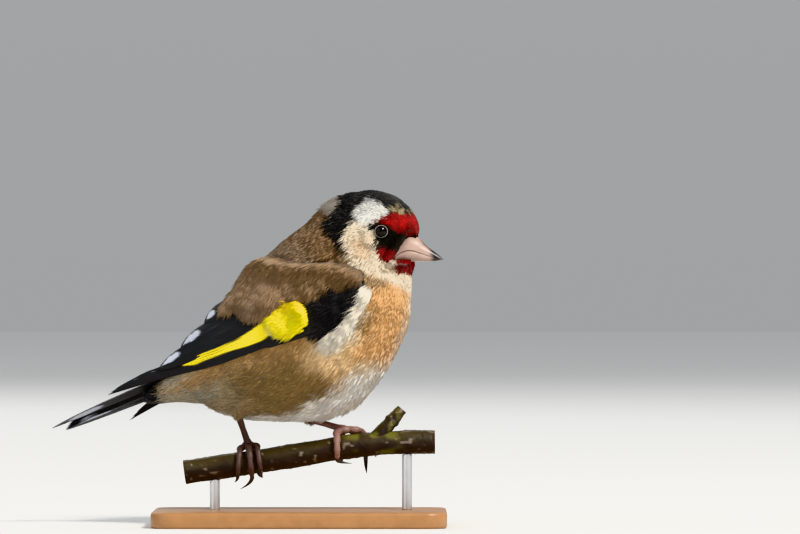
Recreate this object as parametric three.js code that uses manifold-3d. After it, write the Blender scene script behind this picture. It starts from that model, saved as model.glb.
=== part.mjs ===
// A life-size European goldfinch gripping a short cut length of branch on a small display stand.
// Millimetres, +Z up. The origin is the middle of the base's underside. The branch runs along X.
// The bird is built in its own frame, heading along +X with its mid-plane at y = 0, its right wing
// on the -Y side, and is then turned a little towards -Y as one group.
import * as THREE from 'three';
import { mergeVertices } from 'three/addons/utils/BufferGeometryUtils.js';
import Module from 'manifold-3d';

const wasm = await Module();
wasm.setup();

const DEG = Math.PI / 180;
const GAP = 0.3; // clearance between pieces that touch
const YAW = -13 * DEG; // turn of the bird about Z
const SIDES = { right: -1, left: 1 };
const V = (x, y, z) => new THREE.Vector3(x, y, z);

// Rungs of the body from the bill to the tail: top point, bottom point, half width, and how far down
// the rung the body is widest.
const RUNGS = [
  { top: [34.6, 82.2], bottom: [32.2, 76.0], half: 3.0, widest: 0.5 },
  { top: [34.4, 86.6], bottom: [32.6, 73.8], half: 3.9, widest: 0.5 },
  { top: [32.2, 90.6], bottom: [32.4, 71.2], half: 5.3, widest: 0.46 },
  { top: [27.8, 94.0], bottom: [32.3, 68.4], half: 7.3, widest: 0.42 },
  { top: [21.5, 95.6], bottom: [32.2, 65.2], half: 9.2, widest: 0.44 },
  { top: [15.0, 94.4], bottom: [31.9, 61.6], half: 11.6, widest: 0.52 },
  { top: [8.6, 91.6], bottom: [30.9, 57.0], half: 14.5, widest: 0.55 },
  { top: [2.4, 86.6], bottom: [28.5, 51.6], half: 17.4, widest: 0.54 },
  { top: [-4.6, 81.2], bottom: [24.0, 45.0], half: 19.6, widest: 0.53 },
  { top: [-11.6, 74.8], bottom: [16.5, 36.8], half: 20.2, widest: 0.54 },
  { top: [-18.0, 66.6], bottom: [5.0, 31.2], half: 18.8, widest: 0.56 },
  { top: [-24.4, 57.6], bottom: [-8.0, 30.2], half: 16.0, widest: 0.56 },
  { top: [-30.4, 50.2], bottom: [-18.5, 31.2], half: 12.2, widest: 0.54 },
  { top: [-35.2, 45.4], bottom: [-26.5, 34.2], half: 8.6, widest: 0.52 },
  { top: [-39.6, 42.4], bottom: [-34.0, 35.2], half: 6.0, widest: 0.5 },
  { top: [-43.6, 39.4], bottom: [-41.0, 35.0], half: 4.4, widest: 0.5 },
];
const BODY_STEPS = 2; // sections to a rung
const BODY_SIDES = 24;
// Planes that part the body, each by two points of the mid-plane
const HEAD_CUT = [[13.4, 94.0], [32.6, 69.6]];
const NECK_CUT = [[3.2, 87.6], [31.2, 56.6]];

// Bill
const CULMEN = [[30.2, 83.0], [35.2, 82.0], [36.7, 80.4], [38.4, 79.1], [40.3, 77.7], [42.1, 76.1]];
const MOUTH = [[30.2, 78.7], [33.0, 78.8], [35.2, 78.0], [37.6, 77.2], [40.2, 76.4], [42.1, 76.1]];
const GONYS = [[30.2, 75.6], [33.0, 75.5], [35.4, 75.5], [37.6, 75.6], [39.6, 75.7], [41.2, 76.0]];
const BILL_HALF = [3.8, 3.2, 2.45, 1.65, 0.9, 0.22];
const NOSTRIL = { x: 34.6, y: 2.55, z: 80.6, radius: 0.42 };

// Eye
const EYE = { x: 25.7, z: 84.1, radius: 2.0, sunk: 1.1, lid: 1.88, lidThick: 0.38 };

// Folded wing: the bend, the line from bend to tip, how far it stands from the mid-plane where it is
// free of the body, and how high above the line its upper edge curls in over the back
const BEND = [22.1, 68.3];
const WING_ANGLE = -157.95 * DEG;
const FREE_HALF = [[0, 14], [30, 14], [45, 11.5], [60, 8], [84, 5.6]];
const CREST = [[0, 34], [20, 24.5], [29, 22], [38, 18.4], [47, 13], [55, 9], [62, 7], [84, 5]];
const WING_LIFT = 0.6;
// The left wing hangs a little lower than the right one
const DROOP = { right: { angle: 0, curve: 0 }, left: { angle: -1.5 * DEG, curve: 0.0021 } };
const VANE = 0.6; // thickness of a flight feather

// Tail, whose right edge is turned up, more at the root than at the tip
const TAIL = {
  root: [-34.0, 42.6], angle: -158.4 * DEG, twist: [26 * DEG, 4 * DEG], length: 40.4, fork: 3.8, drop: 0.5,
};

// Branch: centre line in the plane y = 0, and its side twig
const BRANCH_LINE = [
  [-33, 15.4], [-28.6, 16], [-14.3, 18.1], [0, 20.3], [14.3, 22.7], [28.6, 23.9], [38.6, 24],
];
const BRANCH_RADIUS = 3.5;
const TWIG = { from: [21, 23.5], to: [29.2, 33.4], radius: 2.0, tip: 1.45 };

// Stand
const BASE = { length: 84, width: 50, height: 4.6, corner: 6, bevel: 0.8 };
const ROD_RADIUS = 1.5;
const ROD_PLACES = { rear: -24.3, front: 30.6 };

// Joining and cutting
function toSolid(geometry) {
  const bare = geometry.clone();
  bare.deleteAttribute('normal');
  bare.deleteAttribute('uv');
  const merged = mergeVertices(bare, 1e-4);
  return new wasm.Manifold(new wasm.Mesh({
    numProp: 3,
    vertProperties: Float32Array.from(merged.attributes.position.array),
    triVerts: Uint32Array.from(merged.index.array),
  }));
}

function toGeometry(solid) {
  const mesh = solid.getMesh();
  const geometry = new THREE.BufferGeometry();
  geometry.setAttribute('position', new THREE.BufferAttribute(Float32Array.from(mesh.vertProperties), 3));
  geometry.setIndex(new THREE.BufferAttribute(Uint32Array.from(mesh.triVerts), 1));
  return geometry;
}

function largest(solid) {
  return solid.decompose().reduce((best, piece) => (piece.volume() > best.volume() ? piece : best));
}

const union = (solids) => solids.reduce((joined, next) => joined.add(next));
const cutBy = (solid, cutters) => cutters.reduce((left, cutter) => left.subtract(cutter), solid);

// A closed solid through rings of equally many points, its ends filled by a fan
function loft(rings) {
  const sides = rings[0].length;
  const points = rings.flat();
  const index = [];
  for (let r = 0; r + 1 < rings.length; r += 1) {
    for (let i = 0; i < sides; i += 1) {
      const a = r * sides + i;
      const b = r * sides + ((i + 1) % sides);
      index.push(a, b, b + sides, a, b + sides, a + sides);
    }
  }
  const fan = (ring, offset, turned) => {
    const middle = ring.reduce((sum, p) => sum.add(p), V(0, 0, 0)).divideScalar(sides);
    points.push(middle);
    for (let i = 0; i < sides; i += 1) {
      const next = (i + 1) % sides;
      const face = [points.length - 1, offset + i, offset + next];
      index.push(...(turned ? face : face.reverse()));
    }
  };
  fan(rings[0], 0, false);
  fan(rings[rings.length - 1], (rings.length - 1) * sides, true);
  return closed(points, index);
}

// Geometry from points and faces, turned inside out where its volume comes out negative
function closed(points, index) {
  let volume = 0;
  for (let i = 0; i < index.length; i += 3) {
    volume += points[index[i]].dot(V(0, 0, 0).crossVectors(points[index[i + 1]], points[index[i + 2]]));
  }
  const faces = volume < 0 ? index.slice().reverse() : index;
  const geometry = new THREE.BufferGeometry();
  const places = points.flatMap((p) => [p.x, p.y, p.z]);
  geometry.setAttribute('position', new THREE.Float32BufferAttribute(places, 3));
  geometry.setIndex(faces);
  return toSolid(geometry);
}

// A round tube along points, with a radius at each
function tube(path, radii, sides, up = V(0, 0, 1)) {
  const rings = path.map((p, i) => {
    const before = path[Math.max(i - 1, 0)];
    const after = path[Math.min(i + 1, path.length - 1)];
    const along = after.clone().sub(before).normalize();
    const right = V(0, 0, 0).crossVectors(along, up).normalize();
    const over = V(0, 0, 0).crossVectors(right, along);
    return Array.from({ length: sides }, (_, k) => {
      const turn = (2 * Math.PI * (k + 0.5)) / sides;
      const [aside, above] = [radii[i] * Math.cos(turn), radii[i] * Math.sin(turn)];
      return p.clone().addScaledVector(right, aside).addScaledVector(over, above);
    });
  });
  return loft(rings);
}

function ball(centre, radius, detail) {
  const sphere = new THREE.SphereGeometry(radius, detail, Math.ceil(detail * 0.6));
  sphere.translate(centre.x, centre.y, centre.z);
  return toSolid(sphere);
}

// Value of a table of [place, value] pairs at a place
function along(table, place) {
  const last = table.length - 1;
  if (place <= table[0][0]) return table[0][1];
  if (place >= table[last][0]) return table[last][1];
  const i = table.findIndex(([p]) => p > place) - 1;
  const share = (place - table[i][0]) / (table[i + 1][0] - table[i][0]);
  return THREE.MathUtils.lerp(table[i][1], table[i + 1][1], share);
}

// Smooth value through the rungs at u = 0 for the first rung, 1 for the second and so on
function smooth(u, pick) {
  const last = RUNGS.length - 1;
  const i = Math.min(Math.floor(u), last - 1);
  const around = [i - 1, i, i + 1, i + 2].map((k) => THREE.MathUtils.clamp(k, 0, last));
  const [a, b, c, d] = around.map((k) => pick(RUNGS[k]));
  const t = u - i;
  const bends = (2 * a - 5 * b + 4 * c - d) * t * t + (3 * b - a - 3 * c + d) * t ** 3;
  return 0.5 * (2 * b + (c - a) * t + bends);
}

function rung(u) {
  return {
    top: V(smooth(u, (r) => r.top[0]), 0, smooth(u, (r) => r.top[1])),
    bottom: V(smooth(u, (r) => r.bottom[0]), 0, smooth(u, (r) => r.bottom[1])),
    half: smooth(u, (r) => r.half),
    widest: smooth(u, (r) => r.widest),
  };
}

// The whole body without wings and tail, grown outward by grow
function body(grow) {
  const rings = [];
  const last = RUNGS.length - 1;
  for (let step = 0; step <= last * BODY_STEPS; step += 1) {
    const { top, bottom, half, widest } = rung(step / BODY_STEPS);
    const down = bottom.clone().sub(top);
    const height = down.length();
    down.normalize();
    const middle = top.clone().addScaledVector(down, height * widest);
    if (step === 0) middle.x += grow;
    if (step === last * BODY_STEPS) middle.x -= grow;
    rings.push(Array.from({ length: BODY_SIDES }, (_, k) => {
      const turn = (2 * Math.PI * k) / BODY_SIDES;
      const reach = Math.cos(turn) > 0 ? height * widest : height * (1 - widest);
      const p = middle.clone().addScaledVector(down, -Math.cos(turn) * (reach + grow));
      p.y = Math.sin(turn) * (half + grow);
      return p;
    }));
  }
  return loft(rings);
}

// Half width of the body seen from the side at (x, z), 0 outside its outline
const STATIONS = Array.from({ length: 151 }, (_, i) => rung((i * (RUNGS.length - 1)) / 150));
function bodyHalf(x, z) {
  let found = 0;
  for (let i = 0; i + 1 < STATIONS.length; i += 1) {
    const side = (s) => (s.bottom.x - s.top.x) * (z - s.top.z) - (s.bottom.z - s.top.z) * (x - s.top.x);
    const [a, b] = [side(STATIONS[i]), side(STATIONS[i + 1])];
    if (a * b <= 0 && a !== b) {
      const s = STATIONS[i];
      const down = s.bottom.clone().sub(s.top);
      const share = V(x, 0, z).sub(s.top).dot(down) / down.lengthSq();
      const off = share < s.widest ? (s.widest - share) / s.widest : (share - s.widest) / (1 - s.widest);
      if (off < 1) found = Math.max(found, s.half * Math.sqrt(1 - off * off));
    }
  }
  return found;
}

// The part of a solid between two cuts of the mid-plane, each moved aside by half the gap
function between(solid, front, rear) {
  const normal = ([a, b]) => {
    const line = V(b[0] - a[0], 0, b[1] - a[1]).normalize();
    return V(-line.z, 0, line.x);
  };
  let left = solid;
  for (const [cut, sense] of [[front, -1], [rear, 1]]) {
    if (cut) {
      const n = normal(cut).multiplyScalar(sense);
      left = left.trimByPlane([n.x, n.y, n.z], n.dot(V(cut[0][0], 0, cut[0][1])) + GAP / 2);
    }
  }
  return largest(left);
}

// A half of the bill between an upper and a lower line
function billHalf(upper, lower, grow) {
  const rings = upper.map(([x, z], i) => {
    const low = lower[i];
    const half = BILL_HALF[i] + grow;
    const section = [[0, 1], [0.55, 0.82], [0.9, 0.4], [1, 0], [-1, 0], [-0.9, 0.4], [-0.55, 0.82]];
    const crown = upper === CULMEN;
    return section.map(([across, rise]) => {
      const share = crown ? rise : 1 - rise;
      const px = THREE.MathUtils.lerp(low[0], x, share);
      const pz = THREE.MathUtils.lerp(low[1] - grow, z + grow, share);
      return V(px + (i === upper.length - 1 ? grow : 0), half * across, pz);
    });
  });
  return loft(rings);
}

const lowered = (line, by) => line.map(([x, z]) => [x, z - by]);

function billUpper(grow) {
  const whole = billHalf(CULMEN, lowered(MOUTH, -GAP / 2), grow);
  if (grow) return whole;
  const holes = [1, -1].map((side) => ball(V(NOSTRIL.x, side * NOSTRIL.y, NOSTRIL.z), NOSTRIL.radius, 8));
  return cutBy(whole, holes);
}

const billLower = (grow) => billHalf(lowered(MOUTH, GAP / 2), GONYS, grow);

function eyeCentre(side) {
  return V(EYE.x, side * (bodyHalf(EYE.x, EYE.z) - EYE.sunk), EYE.z);
}

function lid(side) {
  const ring = new THREE.TorusGeometry(EYE.lid, EYE.lidThick, 5, 12);
  ring.rotateX(Math.PI / 2);
  ring.rotateZ(side * -14 * DEG);
  const centre = eyeCentre(side);
  ring.translate(centre.x + 0.3, centre.y + side * (EYE.sunk + 0.05), centre.z);
  return toSolid(ring);
}

// A point of the folded wing's sheet: s along it from the bend, t up across it
function sheet(s, t, { angle, curve }) {
  const bent = t - curve * Math.max(s - 30, 0) ** 2;
  const turn = WING_ANGLE - angle;
  const x = BEND[0] + s * Math.cos(turn) + bent * Math.sin(turn);
  const z = BEND[1] + s * Math.sin(turn) - bent * Math.cos(turn);
  const on = bodyHalf(x, z) + WING_LIFT;
  const free = along(FREE_HALF, s) * Math.sqrt(Math.max(0.05, 1 - (Math.max(t, 0) / along(CREST, s)) ** 2));
  return V(x, 0.5 * (on + free + Math.sqrt((on - free) ** 2 + 3)), z);
}

// A point at a height over the sheet, on the right or the left wing
function over(s, t, height, hand) {
  const droop = DROOP[hand];
  const step = 1.5;
  const p = sheet(s, t, droop);
  const ds = sheet(s + step, t, droop).sub(sheet(s - step, t, droop));
  const dt = sheet(s, t + step, droop).sub(sheet(s, t - step, droop));
  const normal = V(0, 0, 0).crossVectors(ds, dt).normalize();
  if (normal.y < 0) normal.negate();
  p.addScaledVector(normal, height);
  p.y *= SIDES[hand];
  return p;
}

// One feather: a thin vane from root to tip, each [s, t, height], with a width and a thickness.
// lean lifts its upper edge and lowers its lower edge, so that neighbours overlap as tiles do.
function vane(feather, place, grow) {
  const { root, tip, width, thick = VANE, lean = 0.35, blunt, bow = 0, steps } = feather;
  const run = new THREE.Vector2(tip[0] - root[0], tip[1] - root[1]);
  const length = run.length();
  const way = run.clone().divideScalar(length);
  const rings = [];
  for (let k = 0; k <= steps; k += 1) {
    const f = k / steps;
    const reach = -grow + f * (length + 2 * grow);
    const rounding = 1 - (1 - blunt) * Math.max(0, (f - 0.55) / 0.45) ** 2;
    const taper = f < 1 ? Math.min(1, 0.7 + 1.2 * f) * rounding : 0.4 * blunt;
    const half = (width / 2) * taper + grow;
    const height = THREE.MathUtils.lerp(root[2], tip[2], f);
    const side = bow * Math.sin(Math.PI * f);
    const at = (across, up) => place(
      root[0] + way.x * reach - way.y * (across + side),
      root[1] + way.y * reach + way.x * (across + side),
      height + up + (lean * across) / (width / 2),
    );
    rings.push([at(-half, -grow), at(half, -grow), at(half, thick + grow), at(-half, thick + grow)]);
  }
  return loft(rings);
}

// Evenly spaced feathers of one tier between a first and a last one
function tier(count, first, last, shape) {
  return Array.from({ length: count }, (_, i) => {
    const f = count > 1 ? i / (count - 1) : 0;
    const mix = (a, b) => a.map((value, k) => THREE.MathUtils.lerp(value, b[k], f));
    return { root: mix(first.root, last.root), tip: mix(first.tip, last.tip), ...shape };
  });
}

// Ends of the primaries, from the outermost, the longest, inwards
const PRIMARY_ENDS = [[83.4, 0], [82.2, 0.6], [80.4, 1.1], [74.2, 1.6], [68.2, 2.1], [63.4, 2.2]];

// Layers of the folded wing from the top one down. Each covers the roots of the next. Its core is the
// flesh under the feather roots: from and to along the wing, low and high across it, and its height.
const WING_LAYERS = {
  scapulars: {
    finish: 'brown',
    core: { from: 1, to: 24, low: 5.5, high: 17.5, top: 1.6 },
    feathers: [
      ...tier(
        5, { root: [14, 5.6, 1.8], tip: [34, 2.8, 3.3] }, { root: [15, 15.0, 1.4], tip: [37.4, 10.6, 2.6] },
        { width: 5.4, blunt: 0.85, steps: 3 },
      ),
      ...tier(
        4, { root: [2, 6.0, 1.6], tip: [20, 3.2, 3.3] }, { root: [2, 16.0, 1.0], tip: [25, 15.6, 2.2] },
        { width: 6.4, blunt: 0.85, steps: 2 },
      ),
    ],
  },
  coverts: {
    finish: 'black',
    core: { from: -1.5, to: 10, low: -6.4, high: 8, top: 1.3 },
    feathers: [
      ...tier(
        6, { root: [7, -6.4, 1.0], tip: [19.0, -6.8, 1.9] }, { root: [9, 5.0, 1.0], tip: [20.5, 5.6, 1.9] },
        { width: 4.4, blunt: 0.85, steps: 2 },
      ),
      ...tier(
        5, { root: [-1, -4.6, 0.8], tip: [11.0, -6.2, 1.9] }, { root: [0, 4.0, 0.8], tip: [12.5, 4.4, 1.9] },
        { width: 4.6, blunt: 0.85, steps: 2 },
      ),
    ],
  },
  band: {
    finish: 'yellow',
    core: { from: 10.5, to: 22, low: -5.6, high: 8, top: 0.9 },
    feathers: [
      ...tier(
        6, { root: [14, -4.4, 0.7], tip: [30.5, -3.2, 1.5] }, { root: [15, 6.4, 0.7], tip: [34.5, 6.4, 1.5] },
        { width: 4.8, blunt: 0.8, steps: 2 },
      ),
      ...tier(
        3, { root: [12, -6.2, 0.4], tip: [34, -5.2, 0.9] }, { root: [13, -4.8, 0.6], tip: [31, -3.6, 1.2] },
        { width: 3.8, blunt: 0.6, steps: 2 },
      ),
    ],
  },
  flight: {
    finish: 'black',
    core: { from: 21, to: 52, low: -5.0, high: 6, top: 0.6 },
    feathers: [
      ...PRIMARY_ENDS.map((end, i) => ({
        root: [23 + i * 0.6, -4.6 + i * 0.75, 0.5 + i * 0.06], tip: [...end, 0.1 + i * 0.2], width: 4.0,
        blunt: 0.5, bow: -1.2, steps: 3,
      })),
      ...tier(
        3, { root: [23, -0.4, 0.5], tip: [60.5, 1.8, 1.2] }, { root: [23, 2.0, 0.6], tip: [57, 4.2, 1.5] },
        { width: 5.4, blunt: 0.7, steps: 2 },
      ),
      ...tier(
        3, { root: [23, 3.0, 0.7], tip: [63.6, 2.6, 1.6] }, { root: [22, 8.0, 0.8], tip: [46.6, 7.4, 1.8] },
        { width: 6.4, blunt: 0.75, steps: 3 },
      ),
    ],
  },
};
const CORE_DEPTH = 2.2;

function wingCore({ from, to, low, high, top }, hand, grow) {
  const steps = Math.round((to - from) / 4.5);
  const across = 3;
  const middle = (low + high) / 2;
  const rings = Array.from({ length: steps + 1 }, (_, k) => {
    const s = THREE.MathUtils.lerp(from - grow, to + grow, k / steps);
    const width = (high - low) * (k === 0 && from < 5 ? 0.55 : 1) + 2 * grow;
    const edge = Array.from({ length: across + 1 }, (_, j) => middle + width * (j / across - 0.5));
    const outside = edge.map((t) => over(s, t, top + grow, hand));
    const inside = edge.map((t) => over(s, t, -CORE_DEPTH - grow, hand));
    return [...outside, ...inside.reverse()];
  });
  return loft(rings);
}

function wingLayer(layer, hand, grow) {
  const place = (s, t, height) => over(s, t, height, hand);
  const vanes = layer.feathers.map((feather) => vane(feather, place, grow));
  return union(layer.core ? [wingCore(layer.core, hand, grow), ...vanes] : vanes);
}

// Tail frame: a runs from root to tip, b to the bird's left and c up
function tailPoint(a, b, c) {
  const back = V(Math.cos(TAIL.angle), 0, Math.sin(TAIL.angle));
  const left = V(0, 1, 0);
  const up = V(0, 0, 0).crossVectors(back, left).negate();
  if (up.z < 0) up.negate();
  const turn = THREE.MathUtils.lerp(...TAIL.twist, THREE.MathUtils.clamp(a / TAIL.length, 0, 1));
  const b2 = b * Math.cos(turn) - c * Math.sin(turn);
  const c2 = -b * Math.sin(turn) + c * Math.cos(turn);
  const sag = TAIL.drop * Math.max(0, a / TAIL.length) ** 3;
  return V(TAIL.root[0], 0, TAIL.root[1]).addScaledVector(back, a).addScaledVector(left, b2)
    .addScaledVector(up, c2 - sag);
}

function tail(grow) {
  const pairs = 6;
  const list = [];
  for (let i = 0; i < pairs; i += 1) {
    const out = i / (pairs - 1);
    for (const side of [1, -1]) {
      const end = TAIL.length - TAIL.fork * (1 - out) ** 1.4;
      list.push({
        root: [0, side * (0.5 + 2.6 * out), 0.7 - 0.7 * out],
        tip: [end, side * (1.4 + 5.2 * out), 1.0 - 0.9 * out],
        width: 4.4, thick: 0.55, lean: side * -0.3, blunt: 0.5, steps: 2,
      });
    }
  }
  return union(list.map((feather) => vane(feather, tailPoint, grow)));
}

// Legs. The heel and foot are in the stand's frame, the thigh's root in the bird's.
const branchCurve = new THREE.CatmullRomCurve3(BRANCH_LINE.map(([x, z]) => V(x, 0, z)));
const BRANCH_STEPS = 16;
const branchPath = branchCurve.getPoints(BRANCH_STEPS);
const branchHeight = (x) => along(branchPath.map((p) => [p.x, p.z]), x);

// Each toe spans places along the branch from the foot, and turns in degrees from the branch's top
// towards -Y. Its claw sweeps further round, drifts along the branch and stands off from it. The first
// toe of each foot is the hind one.
const FEET = {
  right: {
    thigh: V(-13.0, -7.0, 38.0),
    heel: V(-17.6, -5.2, 32.0),
    foot: -14.7,
    toes: [
      { span: [0.4, 2.6], turn: [-14, -118], radius: 0.95, claw: { sweep: -42, drift: 1.2, lift: 0.6 } },
      { span: [-2.3, -3.0], turn: [16, 132], radius: 0.88, claw: { sweep: 40, drift: -1.0, lift: 0.5 } },
      { span: [0.1, 1.1], turn: [20, 148], radius: 1.0, claw: { sweep: 26, drift: -3.4, lift: 2.6 } },
      { span: [2.4, 3.6], turn: [16, 126], radius: 0.88, claw: { sweep: 40, drift: 0.6, lift: 0.5 } },
    ],
  },
  left: {
    thigh: V(4.0, 7.0, 36.5),
    heel: V(2.8, 3.2, 30.4),
    foot: 12.6,
    toes: [
      { span: [-2.0, -1.9], turn: [22, 128], radius: 1.05, claw: { sweep: 22, drift: 4.2, lift: 0.9 } },
      { span: [-0.6, -0.8], turn: [-24, -116], radius: 0.88, claw: { sweep: -40, drift: 0.4, lift: 0.5 } },
      { span: [2.2, 6.2], turn: [-12, -138], radius: 1.0, claw: { sweep: -40, drift: 0.3, lift: 3.6 } },
      { span: [3.4, 8.4], turn: [-2, -96], radius: 0.88, claw: { sweep: -44, drift: 0.8, lift: 0.5 } },
    ],
  },
};
const TOE_SIDES = 6;
const TOE_STEPS = 7;
const CLAW_STEPS = 4;

// A point near the branch: x along it, turn in degrees from its top towards -Y, distance from its centre
function roundBranch(x, turn, reach) {
  return V(x, -reach * Math.sin(turn * DEG), branchHeight(x) + reach * Math.cos(turn * DEG));
}

function footCentre(leg) {
  return roundBranch(leg.foot, 0, BRANCH_RADIUS + GAP + 1.45);
}

function footBall(leg, grow) {
  const centre = footCentre(leg);
  const sphere = new THREE.SphereGeometry(1, 12, 8);
  sphere.scale(2.1 + grow, 1.5 + grow, 1.25 + grow);
  sphere.translate(centre.x, centre.y, centre.z);
  return toSolid(sphere);
}

// Distance of a toe's middle line from the branch's, at f from its root to its tip
const toeReach = (radius, f) => BRANCH_RADIUS + GAP + radius * (1 - 0.2 * f) + 0.12;

function toe(leg, { span: [from, to], turn: [start, end], radius }, grow) {
  const path = [roundBranch(leg.foot + from * 0.35, start * 0.1, toeReach(radius, 0) + 0.3)];
  const radii = [radius * 0.9 + grow];
  for (let k = 0; k < TOE_STEPS; k += 1) {
    const f = k / (TOE_STEPS - 1);
    const knuckle = k % 2 === 0 ? 1.1 : 0.96;
    const turn = THREE.MathUtils.lerp(start, end, f);
    path.push(roundBranch(leg.foot + THREE.MathUtils.lerp(from, to, f), turn, toeReach(radius, f)));
    radii.push(radius * (1 - 0.28 * f) * knuckle + grow);
  }
  return tube(path, radii, TOE_SIDES, V(1, 0.01, 0));
}

function clawOf(leg, { span: [, to], turn: [start, end], radius, claw }) {
  const path = [];
  const radii = [];
  const first = toeReach(radius, 1);
  const clear = (Math.sign(end - start) * (GAP + 0.45)) / first / DEG;
  for (let k = 0; k <= CLAW_STEPS; k += 1) {
    const f = k / CLAW_STEPS;
    const turn = end + clear + claw.sweep * f;
    path.push(roundBranch(leg.foot + to + claw.drift * f ** 1.5, turn, first + claw.lift * f ** 1.3));
    radii.push(THREE.MathUtils.lerp(radius * 0.62, 0.14, f ** 1.2));
  }
  return tube(path, radii, 6, V(1, 0.01, 0));
}

// The bare leg from the heel down, with the ball of the foot
function shank(leg, grow) {
  const path = [0, 0.12, 0.5, 0.85, 1].map((f) => leg.heel.clone().lerp(footCentre(leg), f));
  const radii = [1.2, 1.1, 1.0, 1.1, 1.3].map((r) => r + grow);
  return tube(path, radii, 9, V(0, 1, 0)).add(footBall(leg, grow));
}

// A feathered thigh: a tapering tuft from the belly to the heel
function thigh(leg, grow) {
  const path = [0, 0.35, 0.7, 1].map((f) => leg.thigh.clone().lerp(leg.heel, f));
  const past = leg.heel.clone().sub(leg.thigh).normalize().multiplyScalar(0.8);
  path.push(leg.heel.clone().add(past));
  return tube(path, [4.2, 3.4, 2.5, 1.9, 1.6].map((r) => r + grow), 10, V(0, 1, 0));
}

function branch(grow) {
  const radii = branchPath.map((p, i) => BRANCH_RADIUS * (1 + 0.022 * Math.sin(1.9 * i)) + grow);
  const stem = tube(branchPath, radii, 12);
  if (grow) return stem;
  const from = V(TWIG.from[0], 0, TWIG.from[1]);
  const to = V(TWIG.to[0], 0, TWIG.to[1]);
  const path = [0, 0.45, 0.6, 0.72, 1].map((f) => from.clone().lerp(to, f));
  return stem.add(tube(path, [2.6, TWIG.radius, TWIG.radius + 0.35, TWIG.radius, TWIG.tip], 8, V(0, 1, 0)));
}

function plate() {
  const { length, width, height, corner, bevel } = BASE;
  const [a, b] = [length / 2 - bevel, width / 2 - bevel];
  const outline = new THREE.Shape();
  outline.moveTo(-a + corner, -b);
  for (const [sx, sy, start] of [[1, -1, -0.5], [1, 1, 0], [-1, 1, 0.5], [-1, -1, 1]]) {
    const [x, y] = [sx * (a - corner), sy * (b - corner)];
    outline.absarc(x, y, corner, start * Math.PI, (start + 0.5) * Math.PI, false);
  }
  const slab = new THREE.ExtrudeGeometry(outline, {
    depth: height - 2 * bevel, bevelThickness: bevel, bevelSize: bevel, bevelSegments: 1, curveSegments: 4,
  });
  slab.translate(0, 0, bevel);
  return toSolid(slab);
}

function rod(x) {
  const top = branchHeight(x);
  const foot = BASE.height + GAP;
  const shaft = new THREE.CylinderGeometry(ROD_RADIUS, ROD_RADIUS, top - foot, 16);
  shaft.rotateX(Math.PI / 2);
  shaft.translate(x, 0, (top + foot) / 2);
  return largest(toSolid(shaft).subtract(branch(GAP)));
}

// Colours
const COLOURS = {
  crown: [0x2b2523, 0.9],
  buff: [0x9a8268, 0.95],
  breast: [0xb99d7c, 0.95],
  horn: [0xd9b6a0, 0.45],
  eye: [0x120c09, 0.08],
  black: [0x16130f, 0.6],
  brown: [0x7a6650, 0.9],
  yellow: [0xe9c21c, 0.75],
  leg: [0x9a6f5c, 0.6],
  claw: [0x4a3a32, 0.45],
  bark: [0x5d4a44, 0.9],
  wood: [0x7a5a3c, 0.55],
  steel: [0xb8babd, 0.3],
};
const FINISHES = Object.fromEntries(Object.entries(COLOURS).map(([name, [color, roughness]]) => [
  name, new THREE.MeshStandardMaterial({ color, roughness, metalness: name === 'steel' ? 1 : 0 }),
]));

const goldfinch = new THREE.Group();
const bird = new THREE.Group();
bird.rotation.z = YAW;
goldfinch.add(bird);

function place(parent, name, solid, finish) {
  const mesh = new THREE.Mesh(toGeometry(largest(solid)), FINISHES[finish]);
  mesh.name = name;
  parent.add(mesh);
}

const turned = (solid, angle) => solid.rotate([0, 0, angle / DEG]);
const whole = body(0);
const grown = body(GAP);
const sockets = [1, -1].map((side) => ball(eyeCentre(side), EYE.radius + GAP, 12));
const skull = union([between(whole, null, HEAD_CUT), lid(1), lid(-1)]);

place(bird, 'head', cutBy(skull, [...sockets, billUpper(GAP), billLower(GAP)]), 'crown');
place(bird, 'neck', between(whole, HEAD_CUT, NECK_CUT), 'buff');
place(bird, 'torso', between(whole, NECK_CUT, null), 'breast');
place(bird, 'bill_upper', billUpper(0), 'horn');
place(bird, 'bill_lower', billLower(0), 'horn');
place(bird, 'tail', tail(0).subtract(grown), 'black');

for (const [hand, side] of Object.entries(SIDES)) {
  place(bird, `eye_${hand}`, ball(eyeCentre(side), EYE.radius, 12), 'eye');
  const above = [grown, tail(GAP)];
  for (const [name, layer] of Object.entries(WING_LAYERS)) {
    place(bird, `wing_${hand}_${name}`, cutBy(wingLayer(layer, hand, 0), above), layer.finish);
    above.push(wingLayer(layer, hand, GAP));
  }
}

// Legs stand in the stand's frame, so the body that cuts them is turned with the bird
const grownBody = turned(grown, YAW);
for (const [hand, leg] of Object.entries(FEET)) {
  place(goldfinch, `thigh_${hand}`, cutBy(thigh(leg, 0), [grownBody, shank(leg, GAP)]), 'breast');
  place(goldfinch, `tarsus_${hand}`, cutBy(shank(leg, 0), [branch(GAP), grownBody]), 'leg');
  leg.toes.forEach((shape, i) => {
    const others = leg.toes.slice(0, i).map((other) => toe(leg, other, GAP));
    const clear = [footBall(leg, GAP), ...others, branch(GAP)];
    place(goldfinch, `toe_${hand}_${i + 1}`, cutBy(toe(leg, shape, 0), clear), 'leg');
    const claw = cutBy(clawOf(leg, shape), [toe(leg, shape, GAP), branch(GAP)]);
    place(goldfinch, `claw_${hand}_${i + 1}`, claw, 'claw');
  });
}

place(goldfinch, 'perch', branch(0), 'bark');
place(goldfinch, 'stand_base', plate(), 'wood');
for (const [name, x] of Object.entries(ROD_PLACES)) place(goldfinch, `stand_rod_${name}`, rod(x), 'steel');

goldfinch.updateMatrixWorld(true);

export default goldfinch;
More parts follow.
